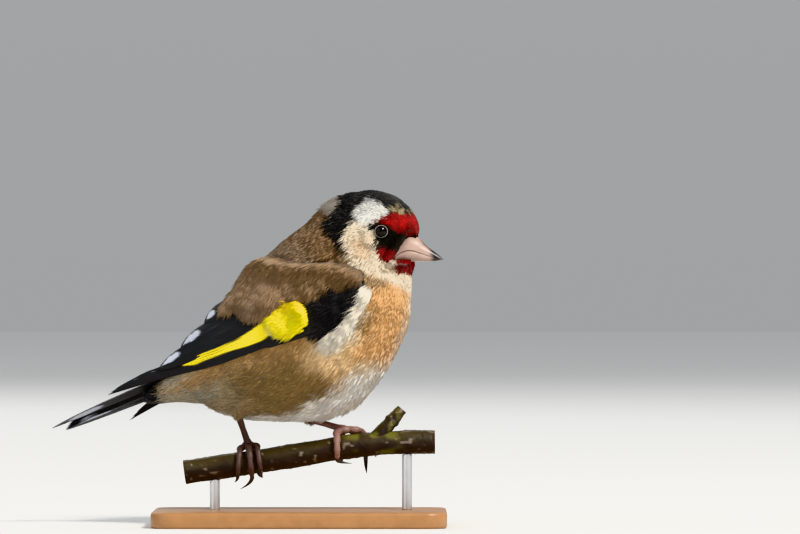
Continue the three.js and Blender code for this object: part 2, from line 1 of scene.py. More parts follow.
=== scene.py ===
"""A life-size European goldfinch on a short cut branch, held by a plain display stand.

Sizes in the classes are millimetres in the bird's own frame: heading along +X, mid-plane at y = 0,
right wing on the -Y side. to_row() turns them into the row frame in metres.
"""

import logging
import math
from collections.abc import Callable
from dataclasses import dataclass, field
from enum import Enum
from functools import cache, partial
from itertools import product

import bpy
import numpy as np
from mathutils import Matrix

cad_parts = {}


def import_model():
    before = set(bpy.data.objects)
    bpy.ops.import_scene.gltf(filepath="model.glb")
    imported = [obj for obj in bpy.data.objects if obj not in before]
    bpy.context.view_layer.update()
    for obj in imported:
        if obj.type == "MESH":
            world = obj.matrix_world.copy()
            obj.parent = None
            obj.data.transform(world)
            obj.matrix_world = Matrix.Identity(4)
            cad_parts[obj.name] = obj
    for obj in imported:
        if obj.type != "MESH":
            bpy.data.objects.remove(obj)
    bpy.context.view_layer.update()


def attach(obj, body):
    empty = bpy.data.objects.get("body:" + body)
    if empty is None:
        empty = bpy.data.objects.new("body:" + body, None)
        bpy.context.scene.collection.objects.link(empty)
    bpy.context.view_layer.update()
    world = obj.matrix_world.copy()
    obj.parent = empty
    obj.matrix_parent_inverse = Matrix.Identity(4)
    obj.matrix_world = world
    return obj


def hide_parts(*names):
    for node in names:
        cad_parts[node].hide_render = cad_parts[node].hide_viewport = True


log = logging.getLogger("goldfinch")

Array = np.ndarray
Colour = tuple[float, float, float]
Outline = tuple[tuple[float, float], ...]
Place = Callable[[Array, Array, Array], Array]
Paint = Callable[..., Array]

MM = 0.001
YAW = math.radians(-13.0)
SEED = 20
TINT = "tint"
BAKE_MAP = "OFBake"
BARB_MAP = "barbs"
PATCH = 0.0015  # half the size of a tuft's patch on the bake map
MARGIN = 0.02  # free rim of the bake map


class Hand(Enum):
    """The two sides of the bird, with the sign of their y."""

    RIGHT = -1
    LEFT = 1

    @property
    def label(self) -> str:
        """Name of the side as the solids have it."""
        return self.name.lower()


class Hue(Enum):
    """Linear colours of the plumage, of the bare parts and of the branch."""

    CROWN = (0.011, 0.010, 0.011)
    LORE = (0.006, 0.005, 0.004)
    GOLD = (0.360, 0.290, 0.170)
    NAPE_PALE = (0.480, 0.430, 0.370)
    NAPE = (0.235, 0.145, 0.078)
    TEMPLE = (0.830, 0.800, 0.745)
    CHEEK = (0.830, 0.710, 0.550)
    CHEEK_TAN = (0.660, 0.490, 0.330)
    RED = (0.235, 0.006, 0.006)
    RED_DEEP = (0.190, 0.006, 0.007)
    MANTLE = (0.345, 0.240, 0.155)
    SCAPULAR = (0.265, 0.172, 0.100)
    SCAPULAR_WARM = (0.370, 0.225, 0.100)
    SCAPULAR_EDGE = (0.520, 0.430, 0.350)
    BREAST = (0.760, 0.440, 0.200)
    BREAST_SIDE = (0.330, 0.225, 0.130)
    TAN = (0.800, 0.560, 0.310)
    CREAM = (0.930, 0.850, 0.730)
    FLANK = (0.430, 0.265, 0.120)
    # Painted shade: the flank brown darkened, for the lower flank and the bottom of the belly.
    FLANK_SHADE = (0.285, 0.190, 0.082)
    BELLY = (0.950, 0.920, 0.850)
    VENT = (0.330, 0.245, 0.140)
    UNDERTAIL = (0.330, 0.280, 0.200)
    RUMP = (0.520, 0.450, 0.350)
    YELLOW = (1.000, 0.800, 0.004)
    # Painted shade: a deeper orange-yellow for the upper edge of the yellow band.
    YELLOW_DEEP = (0.820, 0.500, 0.004)
    BLACK = (0.008, 0.008, 0.010)
    COVERT = (0.012, 0.011, 0.013)
    WHITE_TIP = (0.460, 0.490, 0.580)
    TAIL = (0.012, 0.012, 0.015)
    HORN = (0.430, 0.300, 0.250)
    HORN_DARK = (0.020, 0.012, 0.012)
    LEG = (0.230, 0.125, 0.105)
    # Painted shade: the leg colour darkened, for the right leg in the shadow of the belly.
    LEG_DARK = (0.075, 0.045, 0.040)
    CLAW = (0.022, 0.015, 0.013)
    EYE = (0.003, 0.002, 0.002)
    IRIS = (0.006, 0.003, 0.003)
    LID = (0.200, 0.190, 0.180)
    BARK = (0.016, 0.009, 0.007)
    BARK_TOP = (0.060, 0.045, 0.018)
    ALGAE = (0.170, 0.160, 0.035)
    LENTICEL = (0.240, 0.190, 0.150)
    CUT_WOOD = (0.300, 0.200, 0.110)

    @property
    def rgb(self) -> Array:
        """The colour as an array."""
        return np.array(self.value)

    def rows(self, count: int) -> Array:
        """The colour in so many rows."""
        return np.tile(self.rgb, (count, 1))


def to_row(points: Array) -> Array:
    """Turn bird-frame millimetres into row-frame metres.

    Args:
        points: rows of x, y, z in the bird's frame.

    Returns:
        The same points in the row frame.
    """
    c, s = math.cos(YAW), math.sin(YAW)
    x, y, z = points[:, 0], points[:, 1], points[:, 2]
    return np.stack([x * c - y * s, x * s + y * c, z], axis=1) * MM


def unit(vectors: Array) -> Array:
    """Rows scaled to length one."""
    return vectors / np.maximum(np.linalg.norm(vectors, axis=-1, keepdims=True), 1e-9)


def step(low: float, high: float, value: Array) -> Array:
    """Smooth step from 0 at low to 1 at high."""
    f = np.clip((value - low) / (high - low), 0.0, 1.0)
    return f * f * (3.0 - 2.0 * f)


def blend(colour: Array, share: Array, hue: Hue) -> Array:
    """Rows of colour moved towards a hue by a share for each row."""
    return colour + share[:, None] * (hue.rgb - colour)


def lookup(table: Outline, place: Array) -> Array:
    """Value of a table of (place, value) pairs."""
    places, values = zip(*table)
    return np.interp(place, places, values)


def noise(points: Array, size: float, seed: int = 0) -> Array:
    """Smooth noise over space.

    Args:
        points: rows of x, y, z.
        size: width of a bump, in the units of the points.
        seed: picks another noise.

    Returns:
        Values from -1 to 1.
    """
    place = points / size + 31.7 * (seed + 1)
    cell = np.floor(place).astype(np.int64)
    part = place - cell
    part = part * part * (3.0 - 2.0 * part)
    total = np.zeros(len(points))
    for corner in product((0, 1), repeat=3):
        key = (cell + np.array(corner)) @ np.array([73856093, 19349663, 83492791]) + seed * 9176
        key = ((key ^ (key >> 13)) * 1274126177) & 0x7FFFFFFF
        value = ((key ^ (key >> 15)) & 0xFFFF) / 32767.5 - 1.0
        weight = np.prod(np.where(np.array(corner) == 1, part, 1.0 - part), axis=1)
        total += weight * value
    return total


def depth_inside(outline: Outline, x: Array, z: Array) -> Array:
    """Distance inside an outline, negative outside it."""
    corners = np.array(outline, float)
    best = np.full(len(x), 1e9)
    odd = np.zeros(len(x), bool)
    for (ax, az), (bx, bz) in zip(corners, np.roll(corners, -1, axis=0)):
        dx, dz = bx - ax, bz - az
        share = np.clip(((x - ax) * dx + (z - az) * dz) / (dx * dx + dz * dz), 0.0, 1.0)
        best = np.minimum(best, np.hypot(x - ax - share * dx, z - az - share * dz))
        if dz != 0.0:
            odd ^= ((az > z) != (bz > z)) & (x < ax + (z - az) * dx / dz)
    return np.where(odd, best, -best)


def grid_faces(rows: int, columns: int, closed: bool = False) -> Array:
    """Quads of a grid of points stored row by row.

    Args:
        rows: number of rows of points.
        columns: number of points in a row.
        closed: joins the last column to the first.

    Returns:
        Rows of four point numbers.
    """
    i = np.arange(rows - 1)[:, None] * columns
    j = np.arange(columns if closed else columns - 1)[None, :]
    k = (j + 1) % columns
    return np.stack([i + j, i + k, i + columns + k, i + columns + j], axis=-1).reshape(-1, 4)


@dataclass
class Shape:
    """Points, faces and the colours and map places of the points of one mesh."""

    points: Array
    faces: list[Array]
    tint: Array | None = None
    maps: dict[str, Array] = field(default_factory=dict)

    @staticmethod
    def join(shapes: list["Shape"]) -> "Shape":
        """One shape out of several that carry the same data."""
        faces: list[Array] = []
        count = 0
        for shape in shapes:
            faces += [f + count for f in shape.faces]
            count += len(shape.points)
        tint = None if shapes[0].tint is None else np.concatenate([s.tint for s in shapes])
        maps = {k: np.concatenate([s.maps[k] for s in shapes]) for k in shapes[0].maps}
        return Shape(np.concatenate([s.points for s in shapes]), faces, tint, maps)

    @staticmethod
    def loft(rings: Array, tint: Array | None = None) -> "Shape":
        """A closed body through rings of points, its ends closed by fans.

        Args:
            rings: array of rings x points x 3.
            tint: colour of each ring, or of each point of each ring.

        Returns:
            The body.
        """
        rows, columns = rings.shape[:2]
        points = np.concatenate([rings.reshape(-1, 3), rings[:1].mean(axis=1), rings[-1:].mean(axis=1)])
        ends = rows * columns
        j = np.arange(columns)
        k = (j + 1) % columns
        last = (rows - 1) * columns
        first_fan = np.stack([k, j, np.full(columns, ends)], axis=1)
        last_fan = np.stack([last + j, last + k, np.full(columns, ends + 1)], axis=1)
        shape = Shape(points, [grid_faces(rows, columns, True), first_fan, last_fan])
        if tint is not None:
            full = np.broadcast_to(tint[:, None] if tint.ndim == 2 else tint, (rows, columns, 3))
            shape.tint = np.concatenate([full.reshape(-1, 3), full[:1].mean(axis=1), full[-1:].mean(axis=1)])
        return shape

    def object(self, name: str, material: bpy.types.Material, in_row: bool = False) -> bpy.types.Object:
        """Make the Blender object.

        Args:
            name: name of the piece.
            material: its finish.
            in_row: the points are millimetres in the row frame, not in the bird's.

        Returns:
            The linked object.
        """
        mesh = bpy.data.meshes.new(name)
        places = self.points * MM if in_row else to_row(self.points)
        if self.volume() < 0.0:
            self.faces = [f[:, ::-1] for f in self.faces]
        loops = np.concatenate([f.reshape(-1) for f in self.faces])
        sizes = np.concatenate([np.full(len(f), f.shape[1]) for f in self.faces])
        mesh.vertices.add(len(places))
        mesh.vertices.foreach_set("co", places.astype(np.float32).ravel())
        mesh.loops.add(len(loops))
        mesh.loops.foreach_set("vertex_index", loops.astype(np.int32))
        mesh.polygons.add(len(sizes))
        mesh.polygons.foreach_set("loop_start", (np.cumsum(sizes) - sizes).astype(np.int32))
        mesh.update(calc_edges=True)
        if self.tint is not None:
            layer = mesh.color_attributes.new(TINT, "FLOAT_COLOR", "POINT")
            rgba = np.concatenate([np.clip(self.tint, 0.0, 1.0), np.ones((len(places), 1))], axis=1)
            layer.data.foreach_set("color", rgba.astype(np.float32).ravel())
        for label, spots in self.maps.items():
            uv = mesh.uv_layers.new(name=label)
            uv.data.foreach_set("uv", spots[loops].astype(np.float32).ravel())
        mesh.shade_smooth()
        mesh.materials.append(material)
        made = bpy.data.objects.new(name, mesh)
        bpy.context.scene.collection.objects.link(made)
        return made

    def volume(self) -> float:
        """Six times the enclosed volume, from the first three corners of each face."""
        total = 0.0
        for f in self.faces:
            for k in range(1, f.shape[1] - 1):
                a, b, c = (self.points[f[:, i]] for i in (0, k, k + 1))
                total += float(np.einsum("ij,ij->", a, np.cross(b, c)))
        return total


def tube(path: Array, radii: Array, sides: int, up: Colour = (0.0, 0.0, 1.0), squash: float = 1.0) -> Array:
    """Rings of a round tube along a path.

    Args:
        path: rows of points.
        radii: a radius for each point.
        sides: points of a ring.
        up: direction that the rings' first axis stays square to.
        squash: height of a ring over its width.

    Returns:
        Array of rings x sides x 3.
    """
    along = unit(np.gradient(path, axis=0))
    right = unit(np.cross(along, np.array(up)))
    over = np.cross(right, along)
    turn = 2.0 * np.pi * (np.arange(sides) + 0.5) / sides
    r = np.asarray(radii)[:, None, None]
    wide = np.cos(turn)[None, :, None] * right[:, None]
    high = squash * np.sin(turn)[None, :, None] * over[:, None]
    return path[:, None] + r * (wide + high)


def spline(table: Array, u: Array) -> Array:
    """Values of a smooth curve through the rows of a table.

    Args:
        table: the rows that the curve passes through.
        u: places on the curve, 0 for the first row.

    Returns:
        A row for each place.
    """
    last = len(table) - 1
    i = np.clip(np.floor(u).astype(int), 0, last - 1)
    t = (u - i)[:, None]
    a, b, c, d = (table[np.clip(i + k, 0, last)] for k in (-1, 0, 1, 2))
    return 0.5 * (2 * b + (c - a) * t + (2 * a - 5 * b + 4 * c - d) * t**2 + (3 * b - a - 3 * c + d) * t**3)


def smooth_path(corners: Outline | Array | list[tuple[float, ...]], count: int) -> Array:
    """Points of a smooth curve through corners, evenly by corner."""
    table = np.array(corners, float)
    return spline(table, np.linspace(0.0, len(table) - 1, count))


def bake_place(*shares: Array) -> Array:
    """Places on the bake map from shares of its width and height."""
    return MARGIN + (1.0 - 2.0 * MARGIN) * np.stack(shares, axis=1)


# Finishes


class Nodes:
    """A node tree under construction, of a material or of a group."""

    def __init__(self, tree: bpy.types.NodeTree) -> None:
        """Start on an empty tree."""
        self.tree = tree

    def add(self, kind: str, sockets: dict[str, object] | None = None, **settings: object) -> bpy.types.Node:
        """Add a node, set its options, and fill or link its inputs.

        Args:
            kind: node type without the ShaderNode prefix.
            sockets: values or output sockets for its inputs, by name or number.
            settings: options of the node.

        Returns:
            The node.
        """
        node = self.tree.nodes.new("ShaderNode" + kind)
        for name, value in settings.items():
            setattr(node, name, value)
        for name, value in (sockets or {}).items():
            self.feed(node.inputs[name], value)
        return node

    def feed(self, socket: bpy.types.NodeSocket, value: object) -> None:
        """Link an output to an input socket, or set the socket's value."""
        if isinstance(value, bpy.types.NodeSocket):
            self.tree.links.new(value, socket)
        else:
            socket.default_value = value

    def math(self, operation: str, *values: object) -> bpy.types.NodeSocket:
        """A Math node's result."""
        return self.add("Math", dict(enumerate(values)), operation=operation).outputs[0]

    def mix(self, factor: object, a: object, b: object, blend: str = "MIX") -> bpy.types.NodeSocket:
        """A colour mix's result."""
        node = self.add("Mix", data_type="RGBA", blend_type=blend)
        for number, value in ((0, factor), (6, a), (7, b)):
            self.feed(node.inputs[number], value)
        return node.outputs[2]

    def ramp(self, value: object, stops: list[tuple[float, float]]) -> bpy.types.NodeSocket:
        """A grey ramp's result for (place, brightness) stops."""
        node = self.add("ValToRGB", {"Fac": value})
        while len(node.color_ramp.elements) < len(stops):
            node.color_ramp.elements.new(0.5)
        for element, (place, grey) in zip(node.color_ramp.elements, stops):
            element.position = place
            element.color = (grey, grey, grey, 1.0)
        return node.outputs["Color"]

    def group(self, name: str, sockets: dict[str, object]) -> bpy.types.Node:
        """Place a finished group."""
        return self.add("Group", sockets, node_tree=bpy.data.node_groups[name])


class VaryingGroup:
    """A shader node group that varies a colour by a pattern and puts the pattern out as a height."""

    def __init__(self, name: str, size: tuple[str, float], amount: tuple[str, float]) -> None:
        """Start the group.

        Args:
            name: the group's name.
            size: name and usual value of the input that sets the pattern's size.
            amount: name and usual value of the input that sets how far the colour varies.
        """
        tree = bpy.data.node_groups.new(name, "ShaderNodeTree")
        inputs = {
            "Colour": ("Color", (0.5, 0.5, 0.5, 1.0)),
            size[0]: ("Float", size[1]),
            amount[0]: ("Float", amount[1]),
        }
        for label, (kind, value) in inputs.items():
            socket = tree.interface.new_socket(label, in_out="INPUT", socket_type="NodeSocket" + kind)
            socket.default_value = value
        for label, kind in (("Colour", "Color"), ("Height", "Float")):
            tree.interface.new_socket(label, in_out="OUTPUT", socket_type="NodeSocket" + kind)
        self.nodes = Nodes(tree)
        entry = tree.nodes.new("NodeGroupInput")
        self.colour, self.size, self.amount = (entry.outputs[k] for k in inputs)
        self.result = tree.nodes.new("NodeGroupOutput")

    def finish(self, pattern: bpy.types.NodeSocket) -> None:
        """Vary the colour by a pattern of 0 to 1 and put both out."""
        nodes = self.nodes
        tone = nodes.math("MULTIPLY_ADD", nodes.math("SUBTRACT", pattern, 0.5), self.amount, 1.0)
        shade = nodes.add("CombineColor", {0: tone, 1: tone, 2: tone}).outputs[0]
        nodes.feed(self.result.inputs["Colour"], nodes.mix(1.0, self.colour, shade, "MULTIPLY"))
        nodes.feed(self.result.inputs["Height"], pattern)


def build_mottle() -> None:
    """Make the group that varies a colour by soft clouds."""
    group = VaryingGroup("mottle", ("Size", 0.002), ("Amount", 0.3))
    nodes = group.nodes
    place = nodes.add("TexCoord").outputs["Object"]
    scale = nodes.math("DIVIDE", 1.0, group.size)
    cloud = nodes.add("TexNoise", {"Vector": place, "Scale": scale, "Detail": 5.0, "Roughness": 0.62})
    group.finish(cloud.outputs[0])


def build_barbs() -> None:
    """Make the group that varies a colour by the barbs of a vane."""
    group = VaryingGroup("barbs", ("Pitch", 0.3), ("Contrast", 0.4))
    nodes = group.nodes
    spot = nodes.add("SeparateXYZ", {0: nodes.add("UVMap", uv_map=BARB_MAP).outputs[0]})
    place = nodes.add("TexCoord").outputs["Object"]
    stray = nodes.add("TexNoise", {"Vector": place, "Scale": 900.0}).outputs[0]
    run = nodes.math("MULTIPLY_ADD", stray, 0.35, nodes.math("DIVIDE", spot.outputs[0], group.size))
    wave = nodes.math("SINE", nodes.math("MULTIPLY", run, 2.0 * math.pi))
    group.finish(nodes.math("MULTIPLY_ADD", wave, 0.5, 0.5))


@dataclass(frozen=True)
class Finish:
    """A surface finish whose colour comes from the mesh's tint, varied by a shared group."""

    name: str
    roughness: float
    group: str = "mottle"
    size: float = 0.0015
    amount: float = 0.3
    bump: float = 0.00005
    specular: float = 0.35
    sheen: float = 0.0
    coat: float = 0.0
    metallic: float = 0.0
    colour: Colour | None = None

    @cache
    def material(self) -> bpy.types.Material:
        """Build the material once."""
        made = bpy.data.materials.new(self.name)
        made.use_nodes = True
        nodes = Nodes(made.node_tree)
        shader = made.node_tree.nodes["Principled BSDF"]
        if self.colour is None:
            base: object = nodes.add("VertexColor", layer_name=TINT).outputs["Color"]
        else:
            base = (*self.colour, 1.0)
        names = ("Pitch", "Contrast") if self.group == "barbs" else ("Size", "Amount")
        cover = nodes.group(self.group, {"Colour": base, names[0]: self.size, names[1]: self.amount})
        bump = nodes.add("Bump", {"Height": cover.outputs["Height"], "Distance": self.bump})
        made.node_tree.links.new(cover.outputs["Colour"], shader.inputs["Base Color"])
        made.node_tree.links.new(bump.outputs["Normal"], shader.inputs["Normal"])
        plain = {
            "Roughness": self.roughness,
            "Specular IOR Level": self.specular,
            "Sheen Weight": self.sheen,
            "Coat Weight": self.coat,
            "Coat Roughness": 0.12,
            "Metallic": self.metallic,
        }
        for label, value in plain.items():
            shader.inputs[label].default_value = value
        return made


class Finishes:
    """The finishes of the pieces."""

    SKIN = Finish("skin_down", 0.95, size=0.002, amount=0.5, bump=0.0001, specular=0.1)
    COAT = Finish(
        "contour_feathers", 0.72, size=0.004, amount=0.35, bump=0.00002, specular=0.22, sheen=0.12
    )
    VANE = Finish("vane_feathers", 0.5, "barbs", 0.32, 0.5, 0.00004, 0.4, 0.05)
    HORN = Finish("bill_horn", 0.36, size=0.0016, amount=0.3, bump=0.00003, specular=0.4, coat=0.05)
    EYE = Finish("eye_gloss", 0.05, size=0.001, amount=0.2, bump=0.0, specular=0.35)
    LID = Finish("eye_ring", 0.5, size=0.0006, amount=0.5, bump=0.00008, specular=0.35)
    LEG = Finish("leg_scutes", 0.5, size=0.0007, amount=0.7, bump=0.00006, specular=0.42)
    CLAW = Finish("claw_horn", 0.3, size=0.0012, amount=0.4, bump=0.00003, specular=0.5, coat=0.1)
    BARK = Finish("rough_bark", 0.5, size=0.0012, amount=0.9, bump=0.00012, specular=0.3)
    WOOD = Finish(
        "waxed_wood", 0.42, size=0.004, amount=0.5, bump=0.00004, specular=0.45, coat=0.15,
        colour=(0.34, 0.17, 0.07),
    )
    STEEL = Finish(
        "brushed_steel", 0.32, size=0.003, amount=0.1, bump=0.0, metallic=1.0, colour=(0.62, 0.62, 0.63)
    )
    FLOOR = Finish(
        "pale_floor", 0.8, size=0.5, amount=0.02, bump=0.0, specular=0.1, colour=(0.80, 0.80, 0.79)
    )


# Body


@dataclass
class BodyForm:
    """The body's outer surface: rungs from the bill to the tail, each with its top x and z, bottom
    x and z, half width, and how far down it is widest."""

    rungs: tuple[tuple[float, ...], ...] = (
        (34.6, 82.2, 32.2, 76.0, 3.0, 0.5),
        (34.4, 86.6, 32.6, 73.8, 3.9, 0.5),
        (32.2, 90.6, 32.4, 71.2, 5.3, 0.46),
        (27.8, 94.0, 32.3, 68.4, 7.3, 0.42),
        (21.5, 95.6, 32.2, 65.2, 9.2, 0.44),
        (15.0, 94.4, 31.9, 61.6, 11.6, 0.52),
        (8.6, 91.6, 30.9, 57.0, 14.5, 0.55),
        (2.4, 86.6, 28.5, 51.6, 17.4, 0.54),
        (-4.6, 81.2, 24.0, 45.0, 19.6, 0.53),
        (-11.6, 74.8, 16.5, 36.8, 20.2, 0.54),
        (-18.0, 66.6, 5.0, 31.2, 18.8, 0.56),
        (-24.4, 57.6, -8.0, 30.2, 16.0, 0.56),
        (-30.4, 50.2, -18.5, 31.2, 12.2, 0.54),
        (-35.2, 45.4, -26.5, 34.2, 8.6, 0.52),
        (-39.6, 42.4, -34.0, 35.2, 6.0, 0.5),
        (-43.6, 39.4, -41.0, 35.0, 4.4, 0.5),
    )
    cell: float = 0.75
    corner: tuple[float, float] = (-60.0, 20.0)
    counts: tuple[int, int] = (144, 116)

    def __post_init__(self) -> None:
        """Work out the half width over a grid of side-view places."""
        self.last = float(len(self.rungs) - 1)
        rows = self.section(np.linspace(0.0, self.last, 241))
        nx, nz = self.counts
        x = self.corner[0] + self.cell * np.arange(nx)[:, None] + np.zeros((1, nz))
        z = self.corner[1] + self.cell * np.arange(nz)[None, :] + np.zeros((nx, 1))
        found = np.zeros((nx, nz))
        before = None
        for tx, tz, bx, bz, half, widest in rows:
            side = (bx - tx) * (z - tz) - (bz - tz) * (x - tx)
            share = ((x - tx) * (bx - tx) + (z - tz) * (bz - tz)) / ((bx - tx) ** 2 + (bz - tz) ** 2)
            off = np.where(share < widest, (widest - share) / widest, (share - widest) / (1.0 - widest))
            here = half * np.sqrt(np.clip(1.0 - off * off, 0.0, None))
            if before is not None:
                found = np.where(before * side <= 0.0, np.maximum(found, here), found)
            before = side
        self.halves = found

    def section(self, u: Array) -> Array:
        """Smooth rung values at places along the body, 0 for the first rung."""
        return spline(np.array(self.rungs), u)

    def half(self, x: Array, z: Array) -> Array:
        """Half width of the body at side-view places, 0 outside its outline."""
        nx, nz = self.counts
        fx = np.clip((x - self.corner[0]) / self.cell, 0, nx - 1.001)
        fz = np.clip((z - self.corner[1]) / self.cell, 0, nz - 1.001)
        i, j = fx.astype(int), fz.astype(int)
        p, q = fx - i, fz - j
        h = self.halves
        low = h[i, j] * (1 - p) + h[i + 1, j] * p
        high = h[i, j + 1] * (1 - p) + h[i + 1, j + 1] * p
        return low * (1 - q) + high * q

    def point(self, u: Array, turn: Array) -> Array:
        """Points of the surface: u along the body, turn from the back towards the left side."""
        row = self.section(u)
        top, bottom, half, widest = row[:, 0:2], row[:, 2:4], row[:, 4], row[:, 5]
        height = np.linalg.norm(bottom - top, axis=1)
        down = (bottom - top) / height[:, None]
        middle = top + down * (height * widest)[:, None]
        reach = np.where(np.cos(turn) > 0.0, height * widest, height * (1.0 - widest))
        side = middle - down * (np.cos(turn) * reach)[:, None]
        return self.shaped(np.stack([side[:, 0], np.sin(turn) * half, side[:, 1]], axis=1))

    def shaped(self, p: Array) -> Array:
        """Draw the face in around the bill's base and the eyes."""
        x, y, z = p[:, 0], np.abs(p[:, 1]), p[:, 2]
        ahead = (x - 29.0) - (z - 76.9) * 0.57
        near = step(-1.2, 0.4, ahead) * step(74.2, 75.6, z) * step(85.0, 83.4, z)
        limit = np.interp(x, [29.0, 31.0, 33.0, 35.0], [3.4, 3.0, 2.3, 1.4])
        y = y + near * (np.minimum(y, limit) - y)
        from_eye = np.hypot(x - EYE.x, z - EYE.z)
        y = y - 0.45 * step(3.6, 1.4, from_eye)
        return np.stack([x, np.sign(p[:, 1]) * np.maximum(y, 0.0), z], axis=1)

    def frame(self, u: Array, turn: Array) -> tuple[Array, Array, Array]:
        """Points, unit directions towards the tail, and unit normals."""
        du, dt = 0.04, 0.02
        low, high = np.clip(u - du, 0.0, self.last), np.clip(u + du, 0.0, self.last)
        along = unit(self.point(high, turn) - self.point(low, turn))
        around = self.point(u, turn + dt) - self.point(u, turn - dt)
        normal = unit(np.cross(around, along))
        p = self.point(u, turn)
        row = self.section(u)
        heart = np.stack([(row[:, 0] + row[:, 2]) / 2, np.zeros(len(u)), (row[:, 1] + row[:, 3]) / 2], axis=1)
        normal *= np.sign(np.einsum("ij,ij->i", normal, p - heart))[:, None]
        return p, along, normal


@dataclass(frozen=True)
class EyePlace:
    """Where the eyes sit and how large they are."""

    x: float = 25.7
    z: float = 84.1
    radius: float = 2.0
    sunk: float = 1.1


EYE = EyePlace()


@dataclass(frozen=True)
class Patch:
    """A marking seen from the side: an outline, its colour, how soft and how ragged its edge is."""

    hue: Hue
    outline: Outline
    soft: float = 0.3
    ragged: float = 0.5


@dataclass
class Markings:
    """The plumage pattern of the body, painted patch over patch."""

    patches: tuple[Patch, ...] = (
        Patch(Hue.FLANK, ((36, 78), (32, 72), (20, 75), (20, 68), (-10, 56), (-45, 41), (-50, 30), (0, 20),
            (45, 40)), 1.5, 1),
        # Painted shade on the lower flank and the bottom of the belly.
        Patch(Hue.FLANK_SHADE, ((15, 46), (4, 51), (-14, 46), (-20, 30), (0, 20), (14, 30)), 3, 1.5),
        Patch(Hue.TAN, ((9, 53.5), (14, 56), (21, 58), (27, 56), (28, 50), (22, 46), (14, 45.5),
            (8, 48)), 2, 1.2),
        Patch(Hue.BREAST, ((22, 75), (29, 71.4), (36, 69.4), (40, 56), (32, 47.6), (28, 47.6), (26, 50),
            (24, 49.4), (21, 51.5), (24, 55), (26, 59), (26.5, 64), (24.5, 68)), 1.4, 1),
        Patch(Hue.BREAST_SIDE, ((18.5, 76.5), (23, 74.4), (28.3, 71.6), (26.8, 69.6), (23.5, 70),
            (19, 71)), 0.9, 0.6),
        Patch(Hue.CREAM, ((22.4, 69.4), (24.2, 67.4), (24.0, 63), (22.6, 59), (20.4, 55), (17.4, 52),
            (14.5, 51.4), (11, 53), (12.5, 56.5), (17.4, 61), (20.4, 64), (21.5, 67)), 1.5, 1.4),
        Patch(Hue.BELLY, ((26.4, 49.2), (31, 50), (28, 42), (20, 34), (8, 28), (3.6, 30), (5.4, 33.6),
            (9.4, 37.8), (14.5, 41), (19.6, 45.2), (23.4, 47.8)), 1.5, 1.3),
        Patch(Hue.VENT, ((-13, 44), (-24, 42), (-30, 30), (-10, 24), (-6, 32)), 2.5, 1.2),
        Patch(Hue.UNDERTAIL, ((-16, 41), (-23, 40.2), (-32, 40), (-46, 38), (-46, 32), (-30, 33), (-22, 35),
            (-17, 37)), 1.2, 0.8),
        Patch(Hue.RUMP, ((-24, 60), (-30, 54), (-46, 44), (-46, 40), (-34, 41), (-26, 47),
            (-20, 56)), 2, 1),
        Patch(Hue.TAIL, ((-38.6, 50), (-60, 50), (-60, 20), (-37, 20)), 0.8, 1.4),
        Patch(Hue.NAPE, ((-4, 84), (6, 96), (15, 98), (18, 90), (17.5, 79), (19, 75.5), (14, 76.5),
            (6, 80)), 2.5, 1),
        Patch(Hue.NAPE_PALE, ((8.5, 94), (15.4, 96.5), (15.5, 91.2), (12, 90.6)), 0.7, 0.8),
        Patch(Hue.CHEEK, ((17.6, 88.2), (19.4, 88.4), (22, 87.6), (25.4, 86.2), (26.8, 82.6), (27.2, 79.7),
            (29, 77.1), (30.8, 75.1), (31.2, 73.7), (31.9, 72.6), (36, 72.4), (35.4, 66), (32.6, 68),
            (30.8, 69.9), (28.6, 71.5), (25.9, 73.1), (22.9, 74.3), (20.4, 75.5), (18.3, 78), (17, 81),
            (16.4, 84)), 0.35, 0.4),
        Patch(Hue.CHEEK_TAN, ((18.6, 83.4), (23, 83.6), (24.6, 80.9), (24.8, 78.4), (23, 77.2),
            (20.4, 78.6)), 1.6, 0.6),
        Patch(Hue.CROWN, ((38, 86.6), (30, 86.6), (25, 87), (22, 87.8), (20.2, 88.4), (18.3, 86.4),
            (17, 84.6), (16.5, 83), (17.1, 81.4), (17.9, 80), (18.1, 78.4), (16.7, 79.2), (15.1, 81),
            (13.7, 83.1), (12.3, 85.1), (11.2, 87.4), (11.5, 89.7), (14, 91.1), (15.6, 93.1), (15, 98),
            (24, 102), (36, 98)), 0.3, 0.6),
        Patch(Hue.GOLD, ((28.0, 89.8), (29.6, 90.4), (32.2, 89.8), (36.4, 88.0), (31.6, 88.8)), 0.15, 1.9),
        Patch(Hue.TEMPLE, ((20, 91.5), (22, 93), (24.4, 92.7), (26.5, 91.6), (28.2, 90), (28.8, 88.7),
            (28, 87.7), (25.9, 87.1), (23.7, 86.3), (21.9, 87.2), (20.4, 88.6), (19.5, 90.2)), 0.35, 0.6),
        Patch(Hue.LORE, ((22.8, 86), (25.9, 87), (28.4, 87.2), (32, 84.6), (35.2, 83.6), (35.2, 80.4),
            (33.2, 77), (35, 76.2), (35, 75.4), (30.4, 75.4), (29.2, 77.2), (27.6, 78.8), (25.8, 80.9),
            (24.6, 82.4), (23.9, 84.7)), 0.15, 0.35),
        Patch(Hue.RED, ((24.9, 87.2), (27.2, 88), (28.9, 88.3), (30.4, 88.5), (32.1, 88), (37, 87.6),
            (38.5, 82), (35.2, 82.4), (34.3, 83.2), (33.3, 82.9), (32.2, 82.8), (30.9, 83.4), (29.6, 84.6),
            (28.4, 86), (26.6, 86.9)), 0.2, 0.4),
        Patch(Hue.RED_DEEP, ((25.9, 80.7), (28, 80.1), (29.7, 78.6), (30.1, 76.9), (30.8, 76.2), (36, 76.2),
            (36, 72.9), (31.7, 72.8), (30, 74), (29.2, 75), (28, 75.9), (26.6, 78.3)), 0.2, 0.35),
    )

    STREAKS = {Hue.FLANK: 0.3, Hue.FLANK_SHADE: 0.3, Hue.BREAST: 0.2, Hue.VENT: 0.3, Hue.RED: 0.8}

